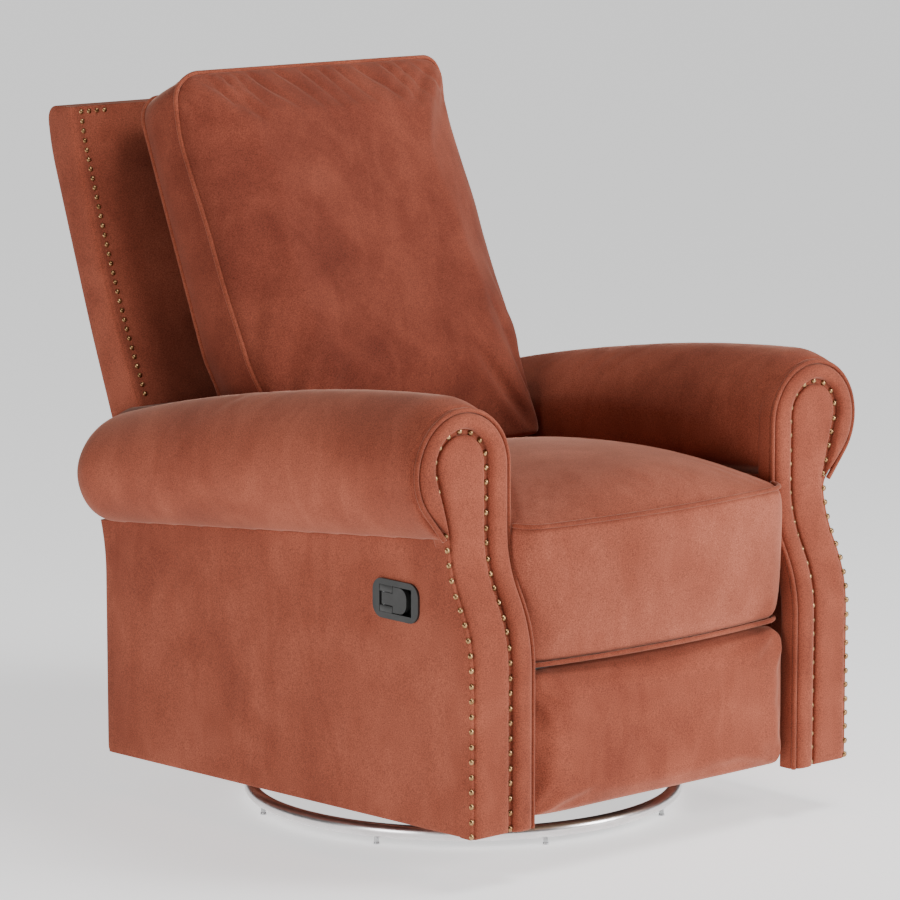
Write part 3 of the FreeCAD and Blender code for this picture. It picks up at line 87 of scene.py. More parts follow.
# %% Floor and light
FLOOR_HALF = 80
FLOOR_GREY = (0.9, 0.9, 0.9, 1)
FLOOR_ROUGHNESS = 0.75
FLOOR_GLOW = 0.95
WHITE = (1, 1, 1, 1)
WORLD_STRENGTH = 0.08
# Each light: its place, what it aims at, its width in metres and its power in watts
LIGHTS = {"key": ((2.0, -3.3, 1.5), (0, -0.4, 0.4), 1.2, 105),
          "fill": ((-4.4, -0.9, 1.0), (0, 0, 0.55), 1.6, 74),
          "top": ((0.5, -1.3, 3.2), (0, -0.3, 0.5), 1.2, 50)}


def add_floor():
    bm = bmesh.new()
    bmesh.ops.create_grid(bm, x_segments=1, y_segments=1, size=FLOOR_HALF)
    mesh = bpy.data.meshes.new("floor")
    bm.to_mesh(mesh)
    bm.free()
    floor = bpy.data.objects.new("floor", mesh)
    bpy.context.scene.collection.objects.link(floor)
    paint = bpy.data.materials.new("pale_floor")
    paint.use_nodes = True
    shader = paint.node_tree.nodes["Principled BSDF"]
    shader.inputs["Base Color"].default_value = FLOOR_GREY
    shader.inputs["Roughness"].default_value = FLOOR_ROUGHNESS
    shader.inputs["Emission Color"].default_value = WHITE
    shader.inputs["Emission Strength"].default_value = FLOOR_GLOW
    mesh.materials.append(paint)


def add_light(name, place, aim, size, power):
    data = bpy.data.lights.new(name, "AREA")
    data.shape = "SQUARE"
    data.size = size
    data.energy = power
    light = bpy.data.objects.new(name, data)
    light.location = place
    light.rotation_euler = (Vector(aim) - Vector(place)).to_track_quat("-Z", "Y").to_euler()
    bpy.context.scene.collection.objects.link(light)


add_floor()
for light_name, setting in LIGHTS.items():
    add_light(light_name, *setting)
world = bpy.data.worlds.new("studio")
world.use_nodes = True
world.node_tree.nodes["Background"].inputs["Color"].default_value = WHITE
world.node_tree.nodes["Background"].inputs["Strength"].default_value = WORLD_STRENGTH
bpy.context.scene.world = world

# %% [markdown]
# ## Finishes
# Each finish is a small node tree on Object coordinates, so that no piece needs a UV map. The
# velvet has several scales of pattern: broad patches where the nap lies one way or the other,
# strokes with clearer edges where a hand has passed, small clouds, and the pile itself, which
# shows as a fine grain and a bump. The same cloth is also made as a darker copy, with painted
# shade, for the back cushion and as a paler copy, with painted light, for the seat: three shades
# of one velvet, and a fourth for the piping, whose cloth is stretched round a cord.

# %% Node helpers
def new_finish(name):
    finish = bpy.data.materials.new(name)
    finish.use_nodes = True
    tree = finish.node_tree
    shader = tree.nodes["Principled BSDF"]
    place = tree.nodes.new("ShaderNodeTexCoord")
    return finish, tree, shader, place.outputs["Object"]


def noise_of(tree, coordinates, scale, detail=3.0, roughness=0.5, distortion=0.0):
    texture = tree.nodes.new("ShaderNodeTexNoise")
    texture.inputs["Scale"].default_value = scale
    texture.inputs["Detail"].default_value = detail
    texture.inputs["Roughness"].default_value = roughness
    texture.inputs["Distortion"].default_value = distortion
    tree.links.new(coordinates, texture.inputs["Vector"])
    return texture.outputs["Fac"]


def ramp_of(tree, factor, stops):
    ramp = tree.nodes.new("ShaderNodeValToRGB")
    ramp.color_ramp.elements[0].position = stops[0][0]
    ramp.color_ramp.elements[0].color = (*stops[0][1], 1)
    ramp.color_ramp.elements[1].position = stops[-1][0]
    ramp.color_ramp.elements[1].color = (*stops[-1][1], 1)
    for position, colour in stops[1:-1]:
        ramp.color_ramp.elements.new(position).color = (*colour, 1)
    tree.links.new(factor, ramp.inputs["Fac"])
    return ramp.outputs["Color"]


def mix_of(tree, factor, first, second, blend="MIX"):
    mix = tree.nodes.new("ShaderNodeMix")
    mix.data_type = "RGBA"
    mix.blend_type = blend
    if isinstance(factor, float):
        mix.inputs["Factor"].default_value = factor
    else:
        tree.links.new(factor, mix.inputs["Factor"])
    tree.links.new(first, mix.inputs["A"])
    tree.links.new(second, mix.inputs["B"])
    return mix.outputs["Result"]


def bump_of(tree, height, strength, distance, before=None):
    bump = tree.nodes.new("ShaderNodeBump")
    bump.inputs["Strength"].default_value = strength
    bump.inputs["Distance"].default_value = distance
    tree.links.new(height, bump.inputs["Height"])
    if before is not None:
        tree.links.new(before, bump.inputs["Normal"])
    return bump.outputs["Normal"]


# %% Velvet
def make_velvet(name, deep, middle, pale):
    """Short pile that looks darker or paler as it lies, with a soft glow along the edges."""
    finish, tree, shader, place = new_finish(name)
    stretch = tree.nodes.new("ShaderNodeMapping")
    stretch.inputs["Scale"].default_value = (1.0, 1.0, 0.4)
    tree.links.new(place, stretch.inputs["Vector"])
    patches = noise_of(tree, place, 4.6, detail=2.5, roughness=0.55, distortion=0.6)
    strokes = noise_of(tree, stretch.outputs["Vector"], 13.0, detail=2.0, distortion=1.6)
    clouds = noise_of(tree, place, 19.0, detail=4.0, roughness=0.6)
    threads = noise_of(tree, place, 620.0, detail=2.0, roughness=0.6)
    grain = noise_of(tree, place, 900.0, detail=1.0)
    broad = ramp_of(tree, patches, [(0.36, deep), (0.52, middle), (0.66, pale)])
    swept = ramp_of(tree, strokes, [(0.44, deep), (0.5, middle), (0.54, pale)])
    small = ramp_of(tree, clouds, [(0.35, deep), (0.65, pale)])
    fine = ramp_of(tree, threads, [(0.3, (0.25, 0.25, 0.25)), (0.7, (0.75, 0.75, 0.75))])
    brushed = mix_of(tree, 0.2, broad, swept)
    mixed = mix_of(tree, 0.25, brushed, small)
    colour = mix_of(tree, 0.75, mixed, fine, "OVERLAY")
    tree.links.new(colour, shader.inputs["Base Color"])
    nap = bump_of(tree, clouds, 0.12, 0.004)
    pile = bump_of(tree, grain, 0.25, 0.0005, nap)
    tree.links.new(pile, shader.inputs["Normal"])
    shader.inputs["Roughness"].default_value = 0.88
    shader.inputs["Specular IOR Level"].default_value = 0.18
    shader.inputs["Sheen Weight"].default_value = 0.45
    shader.inputs["Sheen Roughness"].default_value = 0.38
    shader.inputs["Sheen Tint"].default_value = (1.0, 0.62, 0.48, 1)
    return finish


VELVET = make_velvet("velvet", (0.215, 0.048, 0.026), (0.285, 0.070, 0.038),
                     (0.365, 0.098, 0.056))
# Darker copy of the velvet: painted shade for the back cushion.
VELVET_PAINTED_SHADE = make_velvet("velvet_painted_shade", (0.145, 0.030, 0.017), (0.205, 0.046, 0.026),
                          (0.265, 0.066, 0.038))
# Paler copy of the velvet: painted light for the seat.
VELVET_PAINTED_LIGHT = make_velvet("velvet_painted_light", (0.270, 0.068, 0.038), (0.345, 0.094, 0.055),
                          (0.425, 0.126, 0.076))
PIPING = make_velvet("piping_velvet", (0.195, 0.042, 0.022), (0.255, 0.060, 0.032),
                     (0.340, 0.090, 0.050))
print("velvet in", len({f.name for f in (VELVET, VELVET_PAINTED_SHADE, VELVET_PAINTED_LIGHT, PIPING)}), "shades")

# %% [markdown]
# Metal is cloudy in its brightness and worn in its gloss. Paint, moulded plastic and rubber are
# one dark colour with a fine grain. The frame's hardwood is noise that is stretched along the
# grain. All three read Object coordinates, so the pattern stays with the piece when it moves.

# %% Metals, plastic, wood and rubber
def make_metal(name, deep, pale, roughness, spread, scale):
    """Bare or plated metal with cloudy brightness and a little wear in its gloss."""
    finish, tree, shader, place = new_finish(name)
    wear = noise_of(tree, place, scale, detail=5.0, roughness=0.65)
    tree.links.new(ramp_of(tree, wear, [(0.3, deep), (0.7, pale)]), shader.inputs["Base Color"])
    gloss = tree.nodes.new("ShaderNodeMapRange")
    gloss.inputs["To Min"].default_value = roughness
    gloss.inputs["To Max"].default_value = roughness + spread
    tree.links.new(wear, gloss.inputs["Value"])
    tree.links.new(gloss.outputs["Result"], shader.inputs["Roughness"])
    shader.inputs["Metallic"].default_value = 1.0
    tree.links.new(bump_of(tree, wear, 0.05, 0.0005), shader.inputs["Normal"])
    return finish


def make_coat(name, deep, pale, roughness, grain_scale, grain_depth):
    """Paint, moulded plastic or rubber: one colour with a fine moulded grain."""
    finish, tree, shader, place = new_finish(name)
    clouds = noise_of(tree, place, 35.0, detail=3.0)
    grain = noise_of(tree, place, grain_scale, detail=2.0)
    tree.links.new(ramp_of(tree, clouds, [(0.3, deep), (0.7, pale)]), shader.inputs["Base Color"])
    tree.links.new(bump_of(tree, grain, 0.2, grain_depth), shader.inputs["Normal"])
    shader.inputs["Roughness"].default_value = roughness
    return finish


def make_wood(name):
    """Plain hardwood: stretched noise for the grain, darker pores along it."""
    finish, tree, shader, place = new_finish(name)
    mapping = tree.nodes.new("ShaderNodeMapping")
    mapping.inputs["Scale"].default_value = (3.0, 45.0, 45.0)
    tree.links.new(place, mapping.inputs["Vector"])
    grain = noise_of(tree, mapping.outputs["Vector"], 2.2, detail=6.0, roughness=0.6, distortion=1.2)
    stops = [(0.3, (0.30, 0.17, 0.08)), (0.55, (0.48, 0.31, 0.16)), (0.75, (0.60, 0.42, 0.24))]
    tree.links.new(ramp_of(tree, grain, stops), shader.inputs["Base Color"])
    tree.links.new(bump_of(tree, grain, 0.25, 0.0008), shader.inputs["Normal"])
    shader.inputs["Roughness"].default_value = 0.6
    return finish


CHROME = make_metal("ring_chrome", (0.74, 0.71, 0.71), (0.92, 0.90, 0.90), 0.24, 0.10, 20)
ZINC = make_metal("zinc_plate", (0.42, 0.43, 0.44), (0.62, 0.63, 0.64), 0.32, 0.15, 60)
BRASS = make_metal("antique_brass", (0.16, 0.075, 0.03), (0.58, 0.36, 0.17), 0.24, 0.2, 170)
BLACK_STEEL = make_coat("black_steel", (0.014, 0.014, 0.015), (0.028, 0.028, 0.030), 0.42, 700, 0.0003)
GLIDE_PLASTIC = make_coat("glide_plastic", (0.018, 0.018, 0.018), (0.030, 0.030, 0.030), 0.55, 500, 0.0003)
HANDLE_PLASTIC = make_coat("handle_plastic", (0.020, 0.020, 0.019), (0.034, 0.034, 0.033),
                           0.40, 1200, 0.0002)
RUBBER = make_coat("cable_rubber", (0.010, 0.010, 0.010), (0.020, 0.020, 0.020), 0.7, 400, 0.0003)
WOOD = make_wood("frame_wood")
FINISHES = {"chrome_ring": CHROME, "steel_black": BLACK_STEEL, "steel_zinc": ZINC,
            "glide_plastic": GLIDE_PLASTIC, "velvet": VELVET, "piping": PIPING, "brass_nails": BRASS,
            "wood_frame": WOOD, "handle_plastic": HANDLE_PLASTIC, "cable_sheath": RUBBER}
print(len(FINISHES), "finishes")

# %% [markdown]
# Every carried-over node takes the finish of its material slot.

# %% Dress the carried-over nodes
for part in frame["record"]["subparts"]:
    node_mesh = frame["nodes"][part["node"]].data
    node_mesh.materials.clear()
    node_mesh.materials.append(FINISHES[part["material_slot"]])

# %% [markdown]
# ## Tools for soft shapes
# A cushion is a closed bag that is cut from flat cloth, so each one starts as a cube cut into
# cells, and a rule moves every point of the cube to its place on the cushion. The cells are
# closer together near the edges, where cloth turns over a seam.

# %% Blocks shaped by a rule
def eased(share):
    """Closer spacing towards both ends."""
    return 0.5 - 0.5 * math.cos(math.pi * share)


def lerp(first, second, share):
    return first + (second - first) * share


def swell(across, power):
    """1 over the middle of a padded face, falling fast to 0 at its seams, for -1 to 1."""
    return math.sqrt(max(1 - abs(across) ** power, 0))


def smooth_along(table, at):
    """Value on a smooth curve through (place, value) points."""
    places = [p for p, _ in table]
    values = [v for _, v in table]
    at = min(max(at, places[0]), places[-1])
    k = max(i for i in range(len(places) - 1) if places[i] <= at)
    last = len(places) - 1

    def slope(i):
        low, high = max(i - 1, 0), min(i + 1, last)
        return (values[high] - values[low]) / (places[high] - places[low])

    run = places[k + 1] - places[k]
    t = (at - places[k]) / run
    return ((2 * t ** 3 - 3 * t ** 2 + 1) * values[k] + (t ** 3 - 2 * t ** 2 + t) * run * slope(k)
            + (3 * t ** 2 - 2 * t ** 3) * values[k + 1] + (t ** 3 - t ** 2) * run * slope(k + 1))


def shaped_block(cells, rule, ease=(True, True, True)):
    """Cube cut into cells whose points the rule puts in place, in millimetres."""
    bm = bmesh.new()
    bmesh.ops.create_cube(bm, size=1, matrix=Matrix.Translation((0.5, 0.5, 0.5)))
    for axis, count in enumerate(cells):
        normal = Vector((0, 0, 0))
        normal[axis] = 1
        for cut in range(1, count):
            share = cut / count
            place = normal * (eased(share) if ease[axis] else share)
            bmesh.ops.bisect_plane(bm, geom=bm.verts[:] + bm.edges[:] + bm.faces[:], dist=1e-7,
                                   plane_co=place, plane_no=normal)
    for vert in bm.verts:
        vert.co = Vector(rule(*vert.co)) * MM
    bmesh.ops.remove_doubles(bm, verts=bm.verts, dist=0.00002)
    bmesh.ops.recalc_face_normals(bm, faces=bm.faces)
    return bm


def new_piece(name, bm, finish, body, replaced=(), levels=0):
    """Object at the origin from a bmesh, smooth, on its body and in its finish."""
    mesh = bpy.data.meshes.new(name)
    bm.to_mesh(mesh)
    bm.free()
    mesh.polygons.foreach_set("use_smooth", [True] * len(mesh.polygons))
    mesh.materials.append(finish)
    piece = bpy.data.objects.new(name, mesh)
    bpy.context.scene.collection.objects.link(piece)
    if levels:
        soften(piece, levels)
    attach(piece, body)
    if replaced:
        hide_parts(*replaced)
    return piece


def soften(piece, levels):
    surface = piece.modifiers.new("Subdivision", "SUBSURF")
    surface.levels = levels
    surface.render_levels = levels


def mirrored_piece(piece, name, body, replaced=()):
    """The same piece for the other side of the chair."""
    bm = bmesh.new()
    bm.from_mesh(piece.data)
    bmesh.ops.scale(bm, vec=(-1, 1, 1), verts=bm.verts)
    bmesh.ops.reverse_faces(bm, faces=bm.faces)
    levels = max([m.levels for m in piece.modifiers if m.type == "SUBSURF"], default=0)
    return new_piece(name, bm, piece.data.materials[0], body, replaced, levels)


# %% [markdown]
# ## Tools for cloth and piping
# A padded bag is cut into even cells, held fast along its seams and where it rests, and blown
# up by Blender's cloth for a few frames. No point may move farther than a cap, so that the bag
# keeps the pattern it was cut from. Piping is cloth round a cord: a curve with a round section,
# which is then made a mesh.

# %% Cloth that swells between its seams
VOXEL = 0.006
SEAM_SPACING = 4.0
SEAM_REACH = VOXEL * 1.3
CLOTH_FRAMES = 20
CLOTH_QUALITY = 4
CLOTH_MASS = 0.25
CLOTH_STRETCH = 12
CLOTH_SHEAR = 6
CLOTH_BENDING = 0.6
CLOTH_PRESSURE = 4.0
SMOOTH_ROUNDS = 3


def sewn_points(lines):
    """Tree of points along seam lines given in millimetres."""
    spots = []
    for line in lines:
        for first, second in zip(line, line[1:]):
            first, second = Vector(first), Vector(second)
            steps = max(int((second - first).length / SEAM_SPACING), 1)
            spots += [first.lerp(second, k / steps) * MM for k in range(steps + 1)]
    tree = KDTree(len(spots))
    for index, spot in enumerate(spots):
        tree.insert(spot, index)
    tree.balance()
    return tree


def puff(piece, seams, held, cap, pressure=CLOTH_PRESSURE):
    """Blow the bag up as cloth, held at its seams and where held(x, y, z) says so, up to a cap."""
    remesh = piece.modifiers.new("Remesh", "REMESH")
    remesh.mode = "VOXEL"
    remesh.voxel_size = VOXEL
    graph = bpy.context.evaluated_depsgraph_get()
    fine = bpy.data.meshes.new_from_object(piece.evaluated_get(graph))
    piece.modifiers.clear()
    fine.materials.clear()
    fine.materials.append(piece.data.materials[0])
    piece.data = fine
    fine.polygons.foreach_set("use_smooth", [True] * len(fine.polygons))
    start = [v.co.copy() for v in fine.vertices]
    group = piece.vertex_groups.new(name="held")
    fixed = [i for i, p in enumerate(start)
             if held(p.x / MM, p.y / MM, p.z / MM) or seams.find(p)[2] < SEAM_REACH]
    group.add(fixed, 1.0, "REPLACE")
    cloth = piece.modifiers.new("Cloth", "CLOTH")
    settings = cloth.settings
    settings.quality = CLOTH_QUALITY
    settings.mass = CLOTH_MASS
    settings.tension_stiffness = CLOTH_STRETCH
    settings.compression_stiffness = CLOTH_STRETCH
    settings.shear_stiffness = CLOTH_SHEAR
    settings.bending_stiffness = CLOTH_BENDING
    settings.use_pressure = True
    settings.uniform_pressure_force = pressure
    settings.effector_weights.gravity = 0
    settings.vertex_group_mass = "held"
    cloth.point_cache.frame_end = CLOTH_FRAMES
    scene = bpy.context.scene
    for step in range(1, CLOTH_FRAMES + 1):
        scene.frame_set(step)
    graph = bpy.context.evaluated_depsgraph_get()
    blown = [v.co.copy() for v in piece.evaluated_get(graph).data.vertices]
    piece.modifiers.remove(cloth)
    piece.vertex_groups.clear()
    scene.frame_set(1)
    for vert, before, after in zip(fine.vertices, start, blown):
        move = after - before
        if move.length > cap * MM:
            move *= cap * MM / move.length
        vert.co = before + move
    farthest = max((after - before).length for before, after in zip(start, blown)) / MM
    print(piece.name, "pushed up to", round(farthest, 1), "mm, capped at", cap)
    bm = bmesh.new()
    bm.from_mesh(fine)
    for _ in range(SMOOTH_ROUNDS):
        bmesh.ops.smooth_vert(bm, verts=bm.verts, factor=0.5,
                              use_axis_x=True, use_axis_y=True, use_axis_z=True)
    bm.to_mesh(fine)
    bm.free()


def dent(piece, rule):
    """Move each point of a finished bag along its normal by rule(x, y, z) millimetres."""
    normals = [v.normal.copy() for v in piece.data.vertices]
    for vert, normal in zip(piece.data.vertices, normals):
        x, y, z = vert.co / MM
        vert.co += normal * rule(x, y, z) * MM


# %% Piping
PIPE_SIZE = 3.5


def piping(name, points, body, replaced=()):
    """Cloth-covered cord along points in millimetres."""
    curve = bpy.data.curves.new(name, "CURVE")
    curve.dimensions = "3D"
    curve.bevel_depth = PIPE_SIZE * MM
    curve.bevel_resolution = 3
    curve.use_fill_caps = True
    curve.resolution_u = 4
    spline = curve.splines.new("NURBS")
    spline.points.add(len(points) - 1)
    for point, place in zip(spline.points, points):
        point.co = (*(Vector(place) * MM), 1)
    spline.order_u = 3
    spline.use_endpoint_u = True
    drawn = bpy.data.objects.new(name + "_line", curve)
    mesh = bpy.data.meshes.new_from_object(drawn)
    bpy.data.objects.remove(drawn)
    mesh.name = name
    bm = bmesh.new()
    bm.from_mesh(mesh)
    bmesh.ops.remove_doubles(bm, verts=bm.verts, dist=0.00001)
    bmesh.ops.recalc_face_normals(bm, faces=bm.faces)
    return new_piece(name, bm, PIPING, body, replaced)


# %% [markdown]
# ## Back cushion
# The cushion is a deep box: its front welt stands well ahead of the back, and both the front and
# the rear face are full. It leans with the back and is narrower where it sits between the arms.
# The cloth is gathered into the seam along the top, which leaves a row of short slanted folds.

# %% Back cushion seams
CUSHION_HALF = 256
CUSHION_NARROW = 246
CUSHION_CORNER = 40
CUSHION_FRONT = [(497, 52), (614, 115), (679, 147), (747, 182), (810, 210), (839, 223), (896, 252),
                 (965, 283), (1031, 294), (1054, 291)]
CUSHION_REAR = [(497, 164), (596, 208), (800, 293), (1014, 382)]
CUSHION_LOW = 499
CUSHION_WELT_LOW = 560
FRONT_TOP = 1054
REAR_TOP = 1014
ARM_TOP = 650
NARROW_RUN = 60
LINE_STEPS = 40


def cushion_half(z, top):
    """Half width of the cushion at a height, with its round upper corner."""
    share = min(max((z - ARM_TOP + NARROW_RUN) / NARROW_RUN, 0), 1)
    half = lerp(CUSHION_NARROW, CUSHION_HALF, share * share * (3 - 2 * share))
    over = z - (top - CUSHION_CORNER)
    if over > 0:
        half -= CUSHION_CORNER - math.sqrt(max(CUSHION_CORNER ** 2 - over ** 2, 0))
    return half


def cushion_seam(side, share, table, top):
    """Point of a welt line at a share of its height, on one side."""
    z = lerp(CUSHION_LOW, top, share)
    return Vector((side * cushion_half(z, top), smooth_along(table, z), z))


def cushion_line(table, top):
    """Welt line from low on one side, over the top, to low on the other side."""
    shares = [eased(0.5 + 0.5 * k / LINE_STEPS) * 2 - 1 for k in range(LINE_STEPS + 1)]
    up = [cushion_seam(-1, share, table, top) for share in shares]
    down = [Vector((-p.x, p.y, p.z)) for p in reversed(up)]
    return up + down


# %% Back cushion
FRONT_FULL = 52
REAR_FULL = 62
FRONT_SPREAD = 10
BOX_SIDE_FULL = 9
BOX_TOP_FULL = 14
LEAN_FORWARD = Vector((0, -0.92, 0.39))


def cushion_rule(u, v, w):
    across = 2 * u - 1
    front_z = lerp(CUSHION_LOW, FRONT_TOP, w)
    rear_z = lerp(CUSHION_LOW, REAR_TOP, w)
    front = Vector((cushion_half(front_z, FRONT_TOP) * across, smooth_along(CUSHION_FRONT, front_z),
                    front_z))
    rear = Vector((cushion_half(rear_z, REAR_TOP) * across, smooth_along(CUSHION_REAR, rear_z), rear_z))
    point = front.lerp(rear, v)
    full = swell(across, 10) * swell(2 * w - 1, 8)
    if v < 0.001:
        point += LEAN_FORWARD * FRONT_FULL * full
        point.x += FRONT_SPREAD * across * full
    if v > 0.999:
        point -= LEAN_FORWARD * REAR_FULL * swell(across, 3) * swell(2 * w - 1, 4)
    if abs(across) > 0.999:
        point.x += math.copysign(BOX_SIDE_FULL, across) * math.sin(math.pi * v) * swell(2 * w - 1, 30)
    if w > 0.999:
        point.z += BOX_TOP_FULL * math.sin(math.pi * v) * swell(across, 30)
    return point


GATHER_LENGTH = 75
GATHER_PITCH = 38
GATHER_SLANT = 0.8
GATHER_WANDER = 34
GATHER_RISE = 2.0
GATHER_DEPTH = 9.0


def cushion_gathers(x, y, z):
    """Short slanted folds below the top seam of the front face."""
    below = max(FRONT_TOP - z, 0)
    if below > GATHER_LENGTH or y > smooth_along(CUSHION_FRONT, z) + 12:
        return 0.0
    fade = max(1 - below / GATHER_LENGTH, 0) * min(below / 7, 1) * swell(x / CUSHION_HALF, 10)
    wander = noise.noise(Vector((x * 0.012, 3.1, 0))) * GATHER_WANDER
    phase = (x - GATHER_SLANT * below + wander) * 2 * math.pi / GATHER_PITCH
    groove = max(math.cos(phase), 0) ** 3
    strength = 0.8 + 0.5 * noise.noise(Vector((x * 0.02, 9.7, 0)))
    return fade * strength * (GATHER_RISE - GATHER_DEPTH * groove)


front_line = cushion_line(CUSHION_FRONT, FRONT_TOP)
rear_line = cushion_line(CUSHION_REAR, REAR_TOP)
# The back cushion wears the darker copy of the velvet, which paints shade on it.
cushion = new_piece("back_cushion_cover", shaped_block((34, 10, 34), cushion_rule), VELVET_PAINTED_SHADE,
                    "backrest", ("back_cushion",))
puff(cushion, sewn_points([front_line, rear_line]), lambda x, y, z: z < CUSHION_LOW + 8, cap=16)
dent(cushion, cushion_gathers)
soften(cushion, 1)
front_cord = [p + Vector((math.copysign(1.5, p.x), -2, 2)) for p in front_line if p.z > CUSHION_WELT_LOW]
rear_cord = [p + Vector((0, 1, 0)) for p in rear_line if p.z > CUSHION_WELT_LOW]
piping("back_cushion_front_piping", front_cord, "backrest", ("back_welts",))
piping("back_cushion_rear_piping", rear_cord, "backrest")
print("back cushion", len(cushion.data.polygons), "faces before subdivision")

# %% [markdown]
# ## Seat
# The seat has a high crown that is fullest a third of the way back, a welt along the front edge
# and a padded border that hangs down over the front rail to a second welt.

# %% Seat cushion
SEAT_HALF = 251
SEAT_CORNER = 30
SEAT_REAR = 131
SEAT_WELT_TOP = 487
SEAT_WELT_LOW = 295
SEAT_FLAT = 402
RAIL_FRONT = -428.5
SEAT_FRONT = -470
SEAT_EDGE = -458
SEAT_BOW = 22
SEAT_BORDER_FULL = 11
SEAT_BORDER_BACK = 9
SEAT_CROWN = [(SEAT_FRONT, 0), (-440, 30), (-400, 47), (-330, 57), (-250, 60), (-120, 50), (0, 26),
              (70, 7), (SEAT_REAR, 3)]
SEAT_ACROSS = [(0, 1.0), (75, 0.93), (150, 0.72), (200, 0.53), (232, 0.32), (246, 0.10), (250, 0.0)]
TOP_SHARE = 0.72
SIDE_FULL = 0.03


def seat_front(x):
    """Depth of the upper welt: the seat's front bows forward and turns back at its corners."""
    over = max(abs(x) - (SEAT_HALF - SEAT_CORNER), 0)
    turned = SEAT_CORNER - math.sqrt(max(SEAT_CORNER ** 2 - over ** 2, 0))
    return SEAT_EDGE - SEAT_BOW * (1 - (x / SEAT_HALF) ** 2) + turned


def seat_rule(u, v, w):
    x = (2 * u - 1) * SEAT_HALF
    if v <= TOP_SHARE:
        share = v / TOP_SHARE
        outer_y = lerp(SEAT_REAR, seat_front(x), share)
        level = smooth_along(SEAT_CROWN, lerp(SEAT_REAR, SEAT_FRONT, share))
        level *= smooth_along(SEAT_ACROSS, abs(x))
        outer = Vector((x, outer_y, SEAT_WELT_TOP + level))
        inner = Vector((x, lerp(SEAT_REAR, RAIL_FRONT, share), SEAT_FLAT))
    else:
        share = (v - TOP_SHARE) / (1 - TOP_SHARE)
        round_part = swell(2 * share - 1, 4)
        full = SEAT_BORDER_FULL * round_part * swell(x / SEAT_HALF, 8)
        outer = Vector((x * (1 + SIDE_FULL * round_part), seat_front(x) + SEAT_BORDER_BACK * share - full,
                        lerp(SEAT_WELT_TOP, SEAT_WELT_LOW, share)))
        inner = Vector((x, RAIL_FRONT, lerp(SEAT_FLAT, SEAT_WELT_LOW, share)))
    return inner.lerp(outer, w)


def seat_line(z, behind, rise=0):
    """Line across the seat's front at a height, so far behind the upper welt's own place."""
    steps = 48
    across = [lerp(-SEAT_HALF, SEAT_HALF, eased(k / steps)) for k in range(steps + 1)]
    return [Vector((x, seat_front(x) + behind, z + rise)) for x in across]


# The seat wears the paler copy of the velvet, which paints light on it.
seat = new_piece("seat_cover", shaped_block((30, 44, 6), seat_rule, (True, False, True)), VELVET_PAINTED_LIGHT,
                 "chair", ("seat_cushion",))
puff(seat, sewn_points([seat_line(SEAT_WELT_TOP, 0), seat_line(SEAT_WELT_LOW, SEAT_BORDER_BACK)]),
     lambda x, y, z: z < SEAT_FLAT + 10 and y > RAIL_FRONT - 6 or y > 60 or abs(x) > 244 and z < 470, cap=9)
soften(seat, 1)
piping("seat_upper_piping", seat_line(SEAT_WELT_TOP, -2.5), "chair", ("seat_welts",))
piping("seat_lower_piping", seat_line(SEAT_WELT_LOW, SEAT_BORDER_BACK - 3.5, -1), "chair")
print("seat", len(seat.data.polygons), "faces before subdivision")

# %% [markdown]
# ## Footrest pad
# A full, round-cornered pad over a plywood board. Its back is flat on the board.

# %% Footrest pad
PAD_HALF = 251
PAD_LOW = 77
PAD_TOP = 287
PAD_REAR = -436.8
PAD_EDGE = -461
PAD_CORNER = 13
PAD_FULL = 14


def pad_rule(u, v, w):
    across = 2 * u - 1
    upright = 2 * w - 1
    full = swell(across, 8) * swell(upright, 5)
    wide = PAD_HALF - PAD_CORNER * (1 - math.sqrt(max(1 - abs(upright) ** 8, 0)))
    tall = (PAD_TOP - PAD_LOW) / 2 - PAD_CORNER * 0.4 * (1 - math.sqrt(max(1 - abs(across) ** 16, 0)))
    y = lerp(PAD_REAR, PAD_EDGE - PAD_FULL * full, 1 - v)
    return Vector((across * wide, y, (PAD_TOP + PAD_LOW) / 2 + upright * tall))


footrest_pad = new_piece("footrest_cover", shaped_block((30, 5, 18), pad_rule), VELVET, "footrest",
                         ("footrest_pad",))
puff(footrest_pad, sewn_points([[(-PAD_HALF, PAD_REAR, PAD_LOW), (PAD_HALF, PAD_REAR, PAD_LOW),
                                 (PAD_HALF, PAD_REAR, PAD_TOP), (-PAD_HALF, PAD_REAR, PAD_TOP),
                                 (-PAD_HALF, PAD_REAR, PAD_LOW)]]),
     lambda x, y, z: y > PAD_REAR - 8, cap=6)
soften(footrest_pad, 1)
print("footrest pad", len(footrest_pad.data.polygons), "faces before subdivision")

# %% [markdown]
# ## Arm fronts
# Seen from ahead, an arm front is a straight post with a balloon on top that leans outwards.
# Seen from the side it runs down straight, curves back in an S and ends upright. Every
# piece on it, board, border, placard, piping and nails, is drawn flat first and then bent
# along that S by one function.

# %% The S of the arm front
FRONT_LOW = -472.5
FRONT_HIGH = -423.0
CURVE_LOW = 300
CURVE_HIGH = 483
BEND = 181.4
ARM_FLOOR = 74
ROLL_CENTRE = (339, 571)
ROLL_SIZE = 86
NAIL_CENTRE = (341, 579)
NAIL_SIZE = 46.5
INNER_X = 253
OUTER_X = 366


def on_front(x, z, ahead):
    """Point of the arm's front at x and z, moved ahead of it along its own normal."""
    over = z - CURVE_LOW
    under = CURVE_HIGH - z
    if over <= 0:
        y, tilt = FRONT_LOW, 0
    elif under <= 0:
        y, tilt = FRONT_HIGH, 0
    elif over < under:
        y, tilt = FRONT_LOW + BEND - math.sqrt(BEND ** 2 - over ** 2), math.asin(over / BEND)
    else:
        y, tilt = FRONT_HIGH - BEND + math.sqrt(BEND ** 2 - under ** 2), math.asin(under / BEND)
    return Vector((x, y - ahead * math.cos(tilt), z + ahead * math.sin(tilt)))


def touch_angle(centre, size, neck):
    """Angle on the balloon where the line from the neck touches it."""
    away = Vector((neck[0] - centre[0], neck[1] - centre[1]))
    return math.atan2(away.y, away.x) + math.acos(size / away.length)


